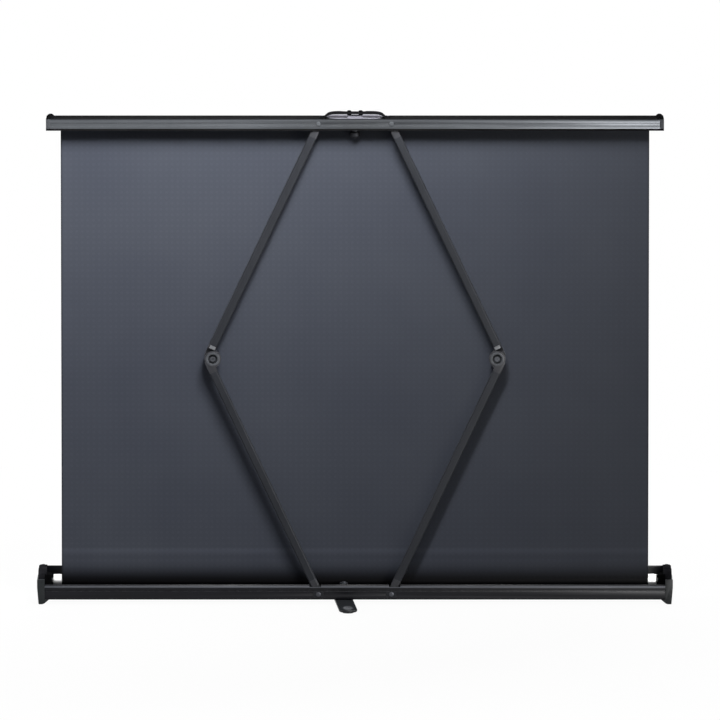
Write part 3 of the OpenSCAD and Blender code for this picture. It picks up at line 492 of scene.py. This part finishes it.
# Dark enamel on the pivot bosses, chipped grey along its edges
BOSS = Finish("enamel_boss", "#212327", "#2a2c30", 0.45, specular=0.14, patch=8, grain=Grain.PEEL,
              pitch=1.0, depth=0.01, speckle=0.08, wear=0.4)
# Black-backed coated cloth; its 0.4 mm threads are drawn 8.2 mm apart so that they show
CLOTH = ClothFinish("black_backed_cloth", "#4b4f5a", "#51555f", 0.66, specular=0.06, patch=210,
                    grain=Grain.WEAVE, pitch=8.168, depth=0.03, speckle=0.035)
# Dull black print round the picture, over the same coarsened weave
BORDER = Finish("printed_black_border", "#121214", "#171719", 0.8, specular=0.2, patch=120,
                grain=Grain.WEAVE, pitch=8.168, speckle=0.08)
# Matt white viewing coat with a fine bead grain
COAT = Finish("white_viewing_coat", "#e6e6e3", "#eaeae8", 0.9, specular=0.15, patch=190,
              pitch=0.9, depth=0.01, speckle=0.012)


def new_piece(name: str, mesh: BMesh, body: str, finishes: list[Finish], slot: str,
              *replaced: str, smooth: float = 40.0) -> Object:
    """Turns a bmesh into a piece that rides on a body and stands for CAD nodes.

    Args:
        name: The piece's name.
        mesh: Its bmesh, which is freed.
        body: The CAD body that it rides on.
        finishes: One finish per material number.
        slot: The record's material slot; not used.
        replaced: The CAD nodes that it replaces.
        smooth: The angle in degrees under which faces meet smoothly.

    Returns:
        The piece.
    """
    data = bpy.data.meshes.new(name)
    mesh.to_mesh(data)
    mesh.free()
    piece = bpy.data.objects.new(name, data)
    bpy.context.scene.collection.objects.link(piece)
    for finish in finishes:
        data.materials.append(finish.material())
    data.shade_smooth()
    data.set_sharp_from_angle(angle=math.radians(smooth))
    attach(piece, body)
    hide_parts(*replaced)
    LOG.info("made %s on %s", name, body)
    return piece


def rounded(mesh: BMesh, width: float, segments: int = 2,
            chosen: Callable[[Vector], bool] | None = None) -> None:
    """Rounds a mesh's sharp edges.

    Args:
        mesh: The mesh.
        width: The rounding's width in millimetres.
        segments: The number of faces across it.
        chosen: Says from a place in millimetres whether an edge there is rounded, if not all are.
    """
    sharp = [e for e in mesh.edges
             if len(e.link_faces) == 2 and e.calc_face_angle() > math.radians(SHARP)
             and (chosen is None or all(chosen(v.co / MM) for v in e.verts))]
    bmesh.ops.bevel(mesh, geom=sharp, offset=width * MM, offset_type="OFFSET", affect="EDGES",
                    segments=segments, profile=0.5, material=-1, clamp_overlap=True)


def score(mesh: BMesh, place: Vector, normal: Vector) -> None:
    """Cuts every face of a mesh along a plane, so that a colour can end there.

    Args:
        mesh: The mesh.
        place: A point on the plane.
        normal: The plane's normal.
    """
    geom = mesh.verts[:] + mesh.edges[:] + mesh.faces[:]
    bmesh.ops.bisect_plane(mesh, geom=geom, plane_co=place, plane_no=normal, dist=1e-6)


def paint(mesh: BMesh, number: int, chosen: Callable[[Vector, Vector], bool]) -> None:
    """Gives chosen faces another of the piece's finishes.

    Args:
        mesh: The mesh.
        number: The finish's number.
        chosen: Says from a face's middle in millimetres and its normal whether it is chosen.
    """
    for face in mesh.faces:
        if chosen(face.calc_center_median() / MM, face.normal):
            face.material_index = number


@dataclass(frozen=True)
class Lamp:
    """A soft box: its middle, the point that it faces and its size in metres, its power in watts.

    One that is mirrored only shows in reflections alone, as a bright card does.
    """

    name: str
    place: tuple[float, float, float]
    aim: tuple[float, float, float]
    size: tuple[float, float]
    watts: float
    mirrored_only: bool = False


LAMPS = (
    # Over the rear, turned past the screen so that its light fades down the cloth
    Lamp("key", (-0.04, 0.8, 1.42), (0.72, 0.0, 1.5), (0.5, 0.6), 35),
    # A long low one for the rail's bevel
    Lamp("strip", (-0.1, 1.25, 1.55), (0.0, 0.0, 0.05), (1.8, 0.12), 3),
    # Cards that brighten the lid's and the rail's one end
    Lamp("card", (-0.82, 1.0, 0.58), (-0.5, 0.0, 0.7), (0.4, 0.25), 9, mirrored_only=True),
    Lamp("low card", (-0.72, 0.9, 0.14), (-0.42, 0.0, 0.02), (0.35, 0.22), 9, mirrored_only=True),
    # The viewing side and the two ends
    Lamp("front", (-0.5, -2.3, 1.7), (0.0, 0.0, 0.35), (1.8, 1.2), 64),
    *(Lamp(name, (x, -0.12, 0.9), (0.0, -0.12, 0.4), (1.0, 0.24), 26)
      for name, x in (("right side", 2.6), ("left side", -2.6))),
)


@dataclass
class Studio:
    """Camera, lamps, floor and background."""

    distance: float = 20000.0
    elevation: float = 7.02
    aim_x: float = -7.3
    aim_z: float = 356.4
    focal: float = 688.2
    floor_r: float = 60000.0
    fade_from: float = 450.0
    fade_to: float = 1600.0
    shadow: float = 0.96
    world: float = 0.1

    def camera(self) -> None:
        """Stands the camera behind the screen, looking at its middle from slightly above."""
        data = bpy.data.cameras.new("camera")
        data.lens = self.focal
        data.sensor_width = 36
        data.clip_end = 100
        camera = bpy.data.objects.new("camera", data)
        bpy.context.scene.collection.objects.link(camera)
        tilt = math.radians(self.elevation)
        back = Vector((0, math.cos(tilt), math.sin(tilt)))
        camera.location = Vector((self.aim_x, 0, self.aim_z)) * MM + back * self.distance * MM
        camera.rotation_euler = (-back).to_track_quat("-Z", "Y").to_euler()
        bpy.context.scene.camera = camera

    def hang(self, lamp: Lamp) -> None:
        """Adds a lamp.

        Args:
            lamp: The lamp.
        """
        data = bpy.data.lights.new(lamp.name, "AREA")
        data.shape = "RECTANGLE"
        data.size, data.size_y = lamp.size
        data.energy = lamp.watts
        light = bpy.data.objects.new(lamp.name, data)
        bpy.context.scene.collection.objects.link(light)
        light.location = lamp.place
        way = Vector(lamp.aim) - Vector(lamp.place)
        light.rotation_euler = way.to_track_quat("-Z", "Y").to_euler()
        light.visible_diffuse = not lamp.mirrored_only

    @staticmethod
    def seen(tree: NodeTree) -> Node:
        """Tells whether a ray comes from the camera, a mirror or a glass.

        Args:
            tree: The node tree.

        Returns:
            A node whose first output is 1 for such a ray.
        """
        path = add_node(tree, "LightPath")
        first = add_node(tree, "Math", {
            0: path.outputs["Is Camera Ray"], 1: path.outputs["Is Glossy Ray"]},
            operation="MAXIMUM")
        return add_node(tree, "Math", {0: first, 1: path.outputs["Is Transmission Ray"]},
                        operation="MAXIMUM")

    def background(self) -> None:
        """Makes the world plain: soft grey light on the object, white where it is seen."""
        world = bpy.data.worlds.new("studio")
        bpy.context.scene.world = world
        world.use_nodes = True
        tree = world.node_tree
        level = add_node(tree, "MapRange", {
            "Value": self.seen(tree), "To Min": self.world, "To Max": 1.0})
        tree.links.new(level.outputs[0], tree.nodes["Background"].inputs["Strength"])
        tree.nodes["Background"].inputs["Color"].default_value = (1, 1, 1, 1)

    def floor(self) -> None:
        """Lays a plain pale floor that fades into the white background and keeps the shadow."""
        mesh = bmesh.new()
        bmesh.ops.create_circle(mesh, cap_ends=True, radius=self.floor_r * MM, segments=64)
        data = bpy.data.meshes.new("floor")
        mesh.to_mesh(data)
        mesh.free()
        floor = bpy.data.objects.new("floor", data)
        bpy.context.scene.collection.objects.link(floor)
        pale = bpy.data.materials.new("pale_floor")
        pale.use_nodes = True
        tree = pale.node_tree
        shader = tree.nodes["Principled BSDF"]
        seen = self.seen(tree)
        tone = add_node(tree, "Mix", {0: seen, 6: linear("#6e6e70"), 7: linear("#f4f4f4")},
                        data_type="RGBA")
        tree.links.new(tone.outputs[2], shader.inputs["Base Color"])
        shader.inputs["Roughness"].default_value = 0.9
        shader.inputs["Specular IOR Level"].default_value = 0.1
        place = add_node(tree, "TexCoord").outputs["Object"]
        away = add_node(tree, "VectorMath", {0: place}, operation="LENGTH").outputs["Value"]
        far = add_node(tree, "MapRange", {
            "Value": away, "From Min": self.fade_from * MM, "From Max": self.fade_to * MM,
            "To Min": self.shadow, "To Max": 1.0}, interpolation_type="SMOOTHSTEP")
        share = add_node(tree, "Math", {0: far, 1: seen}, operation="MULTIPLY")
        white = add_node(tree, "Emission", {"Color": (1, 1, 1, 1), "Strength": 1.0})
        mixed = add_node(tree, "MixShader", {0: share, 1: shader, 2: white})
        tree.links.new(mixed.outputs[0], tree.nodes["Material Output"].inputs["Surface"])
        data.materials.append(pale)

    def build(self) -> None:
        """Makes the whole studio."""
        self.camera()
        self.background()
        self.floor()
        for lamp in LAMPS:
            self.hang(lamp)
        bpy.context.scene.view_settings.view_transform = "Standard"
        LOG.info("made the studio")


@dataclass
class Assembly:
    frame: dict[str, Any]

    def dress(self, finish: Finish, *nodes: str) -> None:
        """Gives CAD nodes a finish.

        Args:
            finish: The finish.
            nodes: The nodes' names.
        """
        for name in nodes:
            materials = self.frame["nodes"][name].data.materials
            materials.clear()
            materials.append(finish.material())
            LOG.info("dressed %s as %s", name, finish.name)

    def soften(self, *nodes: str, width: float) -> None:
        """Rounds the edges of CAD nodes with live modifiers, so that they catch light.

        Args:
            nodes: The nodes' names.
            width: The width of the rounding in millimetres.
        """
        for name in nodes:
            modifiers = self.frame["nodes"][name].modifiers
            weld = modifiers.new("weld", "WELD")
            weld.merge_threshold = MERGE * MM
            flat = modifiers.new("flat", "DECIMATE")
            flat.decimate_type = "DISSOLVE"
            flat.angle_limit = math.radians(COPLANAR)
            rim = modifiers.new("rim", "BEVEL")
            rim.width = width * MM
            rim.segments = 2
            rim.limit_method = "ANGLE"
            rim.angle_limit = math.radians(SHARP)
            rim.use_clamp_overlap = True
            rim.harden_normals = True

    def copied(self, node: str) -> BMesh:
        """Copies a CAD node's mesh, joins its loose triangles and clears its flat faces.

        Args:
            node: The node's name.

        Returns:
            The copy.
        """
        mesh = bmesh.new()
        mesh.from_mesh(self.frame["nodes"][node].data)
        bmesh.ops.remove_doubles(mesh, verts=mesh.verts, dist=MERGE * MM)
        bmesh.ops.dissolve_limit(mesh, angle_limit=math.radians(COPLANAR), verts=mesh.verts,
                                 edges=mesh.edges)
        return mesh


@dataclass
class Base(Assembly):
    """The tray: rail, end caps, keeper cup and the arms' lower pivots."""

    half: float = 462.5
    top: float = 52.5
    crown_r: float = 7.0
    block_x: float = 451.9
    block_z: float = 8.0
    dome_z: float = 36.3
    ledge: float = 0.8
    bevel_highlight_low: float = 24.3
    bevel_highlight_high: float = 27.3
    bevel_highlight_depth: float = 2.1

    def rail(self) -> None:
        """Makes the rail with a painted highlight on a band of its bevel."""
        mesh = self.copied("base_profile")
        rounded(mesh, width=0.25)
        for z in (self.bevel_highlight_low, self.bevel_highlight_high):
            score(mesh, at(0, 0, z), ALONG_Z)
        # Painted highlight: the band of the bevel between the two scored heights gets the paler
        # finish
        paint(mesh, 1, lambda place, normal: self.bevel_highlight_low < place.z < self.bevel_highlight_high
              and place.y > REAR_Y - self.bevel_highlight_depth and normal.y > SLOPING)
        new_piece("rail", mesh, "base", [RAIL, BEVEL_HIGHLIGHT], "rail", "base_profile")

    def cap(self, side: str) -> None:
        """Makes an end cap: grey post, dome with a rounded crown, a bearing block painted black as
        shade and a ledge with a painted highlight.

        Args:
            side: The cap's side, right or left.
        """
        mesh = self.copied(f"base_cap_{side}")
        for vert in mesh.verts:
            above = vert.co.z / MM - self.top + self.crown_r
            if above > 0:
                arc = math.sqrt(max(0.0, self.crown_r ** 2 - above ** 2))
                limit = (self.half - self.crown_r + arc) * MM
                vert.co.x = math.copysign(min(abs(vert.co.x), limit), vert.co.x)
        rounded(mesh, width=1.0, segments=3)
        # The dome's finish: its heavy pale edge wear is partly a painted highlight
        paint(mesh, 1, lambda place, normal: place.z > self.dome_z)
        # Painted shade: the bearing block, deep in the cap, is painted black
        paint(mesh, 2, lambda place, normal: abs(place.x) < self.block_x and place.z > self.block_z)
        # Painted highlight: the ledge's top takes the paler rim finish
        paint(mesh, 3, lambda place, normal: normal.z > FACING
              and abs(place.z - self.dome_z) < self.ledge and abs(place.x) > self.block_x)
        new_piece(f"end_cap_{side}", mesh, "base", [CAP, DOME, MATT, RIM], "moulding",
                  f"base_cap_{side}")

    def build(self) -> None:
        """Dresses the tray's nodes and makes its rail and caps."""
        self.rail()
        for side in SIDES:
            self.cap(side)
        self.soften("latch_keeper", "base_bosses", width=0.3)
        self.soften("base_pads", width=0.5)
        self.dress(ZINC, "base_cap_screws", "latch_keeper")
        self.dress(RIVET, "base_rivets")
        self.dress(RUBBER, "base_pads")
        self.dress(BOSS, "base_bosses")
        self.dress(NYLON, "base_washers")


@dataclass
class Foot(Assembly):
    """The swivelling foot with its bolt, spring and nut."""

    half: float = 102.65
    inside: float = 12.35

    def outside(self, place: Vector) -> bool:
        """Tells whether a place lies on the bar's outer outline.

        Args:
            place: The place in millimetres.

        Returns:
            Whether it is there, and not at the bolt's hole.
        """
        turn = math.radians(FOOT_LEAN)
        across = (place.x - FOOT_X) * math.cos(turn) + place.y * math.sin(turn)
        along = place.y * math.cos(turn) - (place.x - FOOT_X) * math.sin(turn)
        beyond = max(0.0, abs(along) - self.half)
        return math.hypot(across, beyond) > self.inside

    def build(self) -> None:
        """Makes the bar with its bull-nosed outline and dresses the foot's nodes."""
        mesh = self.copied("foot_bar")
        rounded(mesh, width=2.2, segments=5, chosen=self.outside)
        new_piece("swivel_foot", mesh, "foot", [POWDER], "foot", "foot_bar")
        self.soften("foot_nut", "foot_pads", width=0.4)
        self.dress(RUBBER, "foot_pads")
        self.dress(RIVET, "foot_bolt", "foot_nut")
        self.dress(ZINC, "foot_washers")
        self.dress(SPRING, "foot_spring")


@dataclass
class Roller(Assembly):
    """The white roller tube with its plugs, arbor and torsion spring."""

    def build(self) -> None:
        """Dresses the roller's nodes."""
        self.dress(ENAMEL, "roller_tube")
        self.dress(PLUG, "roller_plug_right", "roller_plug_left")
        self.dress(ZINC, "spring_arbor")
        self.dress(SPRING, "torsion_spring")


@dataclass
class Screen(Assembly):
    """The cloth from roller to lid, with its white viewing coat, and the turns on the roller."""

    half: float = 427.0
    depth: float = 26.7
    low: float = 31.3
    high: float = 708.35
    thick: float = 0.3
    coat: float = 0.12
    view_half: float = 406.5
    view_low: float = 75.0
    view_high: float = 685.0
    cell: float = 12.0
    curl: float = 1.1
    curl_w: float = 60.0
    # Each wave's height, the distances across and up that turn it by a radian, and its start
    waves: tuple[tuple[float, float, float, float], ...] = (
        (0.225, 97.0, 190.0, 0.0), (0.135, 41.0, -150.0, 1.3))
    ridge: float = 0.35
    ridge_w: float = 5.0
    folded_top: float = 44.6
    anchor: float = 33.5
    roller_depth: float = 36.0
    roller_z: float = 31.0
    wound_from: float = 8.92
    wound_to: float = 9.14
    wound_turns: float = 1.15
    wound_thick: float = 0.2
    wound_steps: int = 64
    cut_length: float = 760.0

    def slack(self, x: float, z: float) -> float:
        """Gives how far the taut cloth stands back from its plane.

        Args:
            x: Distance to the right of the middle.
            z: Height above the floor.

        Returns:
            Millimetres towards the rear, none at the lid and at the roller.
        """
        held = math.sin(math.pi * (z - self.low) / (self.high - self.low))
        edge = max(0.0, (abs(x) - self.half + self.curl_w) / self.curl_w)
        drift = sum(height * math.sin(x / across + z / up + start)
                    for height, across, up, start in self.waves)
        near_line = math.exp(-((z - self.view_low) / self.ridge_w) ** 2)
        return held * (self.curl * edge * edge + drift) + self.ridge * near_line

    def in_view(self, place: Vector) -> bool:
        """Tells whether a place in metres is inside the white viewing area."""
        x, z = place.x / MM, place.z / MM
        return abs(x) < self.view_half and self.view_low < z < self.view_high

    def sheet(self) -> Object:
        """Makes the hanging cloth: dark at the back, white with a black border in front.

        Returns:
            The piece.
        """
        mesh = bmesh.new()
        wide, tall = self.half * MM, (self.high - self.low) / 2 * MM
        bmesh.ops.create_grid(mesh, x_segments=round(2 * self.half / self.cell),
                              y_segments=round((self.high - self.low) / self.cell), size=1.0)
        bmesh.ops.scale(mesh, vec=(wide, tall, 1), verts=mesh.verts)
        bmesh.ops.rotate(mesh, matrix=Matrix.Rotation(math.radians(90), 3, "X"), verts=mesh.verts)
        middle = at(0, self.depth, (self.high + self.low) / 2)
        bmesh.ops.translate(mesh, vec=middle, verts=mesh.verts)
        for x in (-self.view_half, self.view_half):
            score(mesh, at(x, 0, 0), ALONG_X)
        for z in (self.view_low, self.view_high):
            score(mesh, at(0, 0, z), ALONG_Z)
        bmesh.ops.recalc_face_normals(mesh, faces=mesh.faces)
        if mesh.faces[:][0].normal.y < 0:
            bmesh.ops.reverse_faces(mesh, faces=mesh.faces)
        bmesh.ops.solidify(mesh, geom=mesh.faces[:], thickness=self.thick * MM)
        paint(mesh, 1, lambda place, normal: normal.y < -FACING)
        white = [f for f in mesh.faces if f.material_index and self.in_view(f.calc_center_median())]
        for face in white:
            face.material_index = 2
        raised = bmesh.ops.extrude_face_region(mesh, geom=white)
        moved = [v for v in raised["geom"] if isinstance(v, BMVert)]
        bmesh.ops.translate(mesh, vec=(0, -self.coat * MM, 0), verts=moved)
        bmesh.ops.delete(mesh, geom=white, context="FACES_ONLY")
        for vert in mesh.verts:
            vert.co.y += self.slack(vert.co.x / MM, vert.co.z / MM) * MM
        piece = new_piece("screen_sheet", mesh, "base", [CLOTH, BORDER, COAT], "cloth",
                          "screen_cloth", "viewing_surface", smooth=50.0)
        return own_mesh(piece)

    def wound(self) -> Object:
        """Makes the turns of cloth left on the roller, a spiral drawn out along the roller.

        Returns:
            The piece.
        """
        mesh = bmesh.new()
        steps = round(self.wound_turns * self.wound_steps)
        verts = []
        for i in range(steps + 1):
            turn = 2 * math.pi * self.wound_turns * (i / steps - 1)
            r = self.wound_from + (self.wound_to - self.wound_from) * i / steps
            verts.append(mesh.verts.new(at(
                -self.half, self.roller_depth - r * math.cos(turn),
                self.roller_z + r * math.sin(turn))))
        edges = [mesh.edges.new(pair) for pair in zip(verts, verts[1:])]
        drawn = bmesh.ops.extrude_edge_only(mesh, edges=edges)
        ends = [v for v in drawn["geom"] if isinstance(v, BMVert)]
        bmesh.ops.translate(mesh, vec=(2 * self.half * MM, 0, 0), verts=ends)
        bmesh.ops.solidify(mesh, geom=mesh.faces[:], thickness=self.wound_thick * MM)
        bmesh.ops.recalc_face_normals(mesh, faces=mesh.faces)
        return new_piece("wound_cloth", mesh, "roller", [CLOTH], "cloth", "cloth_roll", smooth=50.0)

    def build(self) -> None:
        sheet, wound = self.sheet(), self.wound()
        self.soften("cloth_batten", width=0.6)
        self.dress(MOULDING, "cloth_batten")


@dataclass
class Arms(Assembly):
    """The two folding arms: tubes, tangs, knuckles and the elbows' screws."""

    elbow_x: float = 206.5
    elbow_z: float = 358.99
    ring_depth: float = 3.0
    # The rim's outline: distance from the elbow's axis, and depth past the knuckle's rear face
    outline: tuple[tuple[float, float], ...] = (
        (6.9, 0.2), (6.9, -0.1), (7.3, -0.3), (9.3, -0.3), (10.0, 0.0), (10.0, 0.2))
    rim_steps: int = 56
    recess_r: float = 7.3
    recess_from: float = 3.6
    recess_to: float = 5.1
    neck_from: float = 11.6
    neck_to: float = 18.2

    def middle(self, side: str) -> Vector:
        """Gives an elbow's place in millimetres, at no depth."""
        return Vector((self.elbow_x if side == "right" else -self.elbow_x, REAR_Y, self.elbow_z))

    @staticmethod
    def reach(place: Vector, middle: Vector) -> float:
        """Gives a place's distance from an elbow's axis."""
        return math.hypot(place.x - middle.x, place.z - middle.z)

    def rim(self, mesh: BMesh, middle: Vector, number: int) -> None:
        """Adds the raised rim round an elbow's recess, its outline spun about the axis.

        Args:
            mesh: The knuckle's mesh.
            middle: The elbow's place.
            number: The rim's finish number.
        """
        verts = [mesh.verts.new(at(middle.x + r, self.ring_depth + deep, middle.z))
                 for r, deep in self.outline]
        edges = [mesh.edges.new((verts[i - 1], verts[i])) for i in range(len(verts))]
        before = set(mesh.faces)
        bmesh.ops.spin(mesh, geom=verts + edges, cent=at(middle.x, self.ring_depth, middle.z),
                       axis=ALONG_Y, angle=2 * math.pi, steps=self.rim_steps, use_merge=True)
        made = [face for face in mesh.faces if face not in before]
        bmesh.ops.recalc_face_normals(mesh, faces=made)
        for face in made:
            face.material_index = number

    def knuckle(self, side: str) -> None:
        """Makes a lower elbow with a worn rim round its recess, which is darkened by painted shade.

        Args:
            side: The arm's side, right or left.
        """
        middle = self.middle(side)
        mesh = self.copied(f"lower_elbow_{side}")
        rounded(mesh, width=0.5)
        # Painted shade: the recess floor is darker
        paint(mesh, 2, lambda place, normal: self.reach(place, middle) < self.recess_r
              and self.recess_from < REAR_Y - place.y < self.recess_to)
        self.rim(mesh, middle, 1)
        new_piece(f"elbow_knuckle_{side}", mesh, f"lower_{side}", [KNUCKLE, RIM, RECESS_SHADE],
                  "moulding", f"lower_elbow_{side}")

    def neck(self, side: str) -> None:
        """Makes an upper elbow whose neck has a pale painted highlight where the tube ends.

        Args:
            side: The arm's side, right or left.
        """
        middle = self.middle(side)
        mesh = self.copied(f"upper_elbow_{side}")
        rounded(mesh, width=0.5)
        # Painted highlight: the neck's rear faces near the tube's end are made pale
        paint(mesh, 1, lambda place, normal: normal.y > FACING
              and self.neck_from < self.reach(place, middle) < self.neck_to)
        new_piece(f"elbow_neck_{side}", mesh, f"upper_{side}", [KNUCKLE, NECK_HIGHLIGHT], "moulding",
                  f"upper_elbow_{side}")

    def build(self) -> None:
        """Dresses the arms' nodes and makes their knuckles."""
        for side in SIDES:
            lower, upper = (TUBE_OUT, TUBE_IN) if side == "right" else (TUBE_IN, TUBE_OUT)
            self.dress(lower, f"lower_tube_{side}")
            self.dress(upper, f"upper_tube_{side}")
            self.knuckle(side)
            self.neck(side)
            self.soften(f"lower_pivot_{side}", f"upper_pivot_{side}", width=0.5)
            self.dress(KNUCKLE, f"lower_pivot_{side}", f"upper_pivot_{side}")
            self.dress(RIVET, f"elbow_screw_{side}", f"elbow_nut_{side}")
            self.dress(NYLON, f"elbow_washer_{side}")


@dataclass
class Lid(Assembly):
    """The lid bar with its end caps and pivots."""

    top: float = 709.98
    skin: float = 0.4
    shoulder: float = 1.7
    plate: float = 4.0
    lip_z: float = 695.9
    face_depth: float = 3.0
    cap_crown: float = 0.6
    cap_facing: float = 0.6

    def bar(self) -> None:
        """Makes the lid bar, with black painted shade on its top, its underside and its rear face's
        lower lip.
        """
        mesh = self.copied("lid_profile")
        rounded(mesh, width=0.25)
        score(mesh, at(0, 0, self.lip_z), ALONG_Z)
        paint(mesh, 2, lambda place, normal: place.z > self.top - self.shoulder
              and normal.z > SLOPING)
        # Painted shade: the top, the rear face below the lip height and the underside of the top
        # are painted black
        paint(mesh, 1, lambda place, normal: place.z > self.top - self.skin and normal.z > SLOPING)
        paint(mesh, 1, lambda place, normal: place.z < self.lip_z
              and place.y > REAR_Y - self.face_depth)
        paint(mesh, 1, lambda place, normal: place.z > self.top - self.plate and normal.z < -SQUARE)
        new_piece("lid_bar", mesh, "lid", [LID, LID_SHADE, SHOULDER], "lid", "lid_profile")

    def cap(self, side: str) -> None:
        """Makes an end cap, grey on its rear face above the lip and black below it as painted
        shade, like the bar's lower lip.

        Args:
            side: The cap's side, right or left.
        """
        mesh = self.copied(f"lid_cap_{side}")
        rounded(mesh, width=0.8, segments=3)
        score(mesh, at(0, 0, self.lip_z), ALONG_Z)
        # Painted shade: below the lip the rear face stays black, like the bar's lower lip
        paint(mesh, 1, lambda place, normal: self.lip_z < place.z < self.top - self.cap_crown
              and normal.y > self.cap_facing)
        new_piece(f"lid_end_{side}", mesh, "lid", [MATT, FACE], "moulding", f"lid_cap_{side}")

    def build(self) -> None:
        """Makes the bar and its caps and dresses the lid's nodes."""
        self.bar()
        for side in SIDES:
            self.cap(side)
        self.dress(HEAD, "lid_rivets")
        self.dress(NYLON, "lid_washers")


@dataclass
class Handle(Assembly):
    """The carrying strap and the latch that lifts through it."""

    slide_top: float = 714.3
    ears_from: float = 716.3
    plate_top: float = 710.98
    plate_skin: float = 0.5
    dish_from: float = 25.0
    dish_to: float = 47.0
    dish: float = 0.9
    full: float = 0.8
    full_from: float = 13.0
    full_to: float = 42.0
    full_ease: float = 3.0
    lift: float = 2.0

    def slide(self) -> None:
        """Makes the latch slide with its black rounded ears."""
        mesh = self.copied("handle_yoke")
        rounded(mesh, width=2.2, segments=5, chosen=lambda place: place.z > self.ears_from)
        paint(mesh, 1, lambda place, normal: place.z < self.slide_top)
        new_piece("latch_slide", mesh, "latch", [MATT, PLATE], "moulding", "handle_yoke")

    def plate(self) -> None:
        """Makes the strap's plate, dished up a little towards its front edge."""
        mesh = self.copied("handle_plate")
        score(mesh, at(0, self.dish_from, 0), ALONG_Y)
        for vert in mesh.verts:
            depth = REAR_Y - vert.co.y / MM
            share = (depth - self.dish_from) / (self.dish_to - self.dish_from)
            if vert.co.z / MM > self.plate_top - self.plate_skin and share > 0:
                vert.co.z += share * self.dish * MM
        rounded(mesh, width=0.25)
        new_piece("lilac_plate", mesh, "lid", [PLATE], "plate", "handle_plate")

    def strap(self) -> None:
        """Makes the strap, swollen a little between the ears' slots and its ends."""
        mesh = self.copied("handle_strap")
        mesh.normal_update()
        for vert in mesh.verts:
            x = abs(vert.co.x) / MM
            share = min((x - self.full_from) / self.full_ease,
                        (self.full_to - x) / self.full_ease, 1.0)
            if vert.normal.z > 0 and share > 0:
                vert.co.z += share * self.full * MM
        rounded(mesh, width=0.4)
        new_piece("carrying_strap", mesh, "lid", [STRAP], "strap", "handle_strap")

    def spring(self) -> None:
        """Makes the latch's spring with a mesh of its own; this script does not shorten it as the
        stud is lifted.
        """
        piece = new_piece("stud_spring", self.copied("latch_spring"), "lid", [SPRING], "spring",
                          "latch_spring")
        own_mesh(piece)

    def build(self) -> None:
        """Makes the slide, plate, strap and spring and dresses the handle's nodes."""
        self.slide()
        self.soften("handle_clamps", width=0.4)
        self.plate()
        self.strap()
        self.spring()
        self.dress(MATT, "handle_clamps")
        self.dress(RIVET, "handle_screws")
        self.dress(STUD, "latch_stud")
        self.dress(NYLON, "latch_bush")


def main() -> None:
    """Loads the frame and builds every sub-assembly."""
    logging.basicConfig(level=logging.INFO, format="%(name)s: %(message)s")
    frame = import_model()
    Studio().build()
    for assembly in (Base, Foot, Roller, Screen, Arms, Lid, Handle):
        assembly(frame).build()
        LOG.info("finished %s", assembly.__name__)


if __name__ == "__main__":
    main()
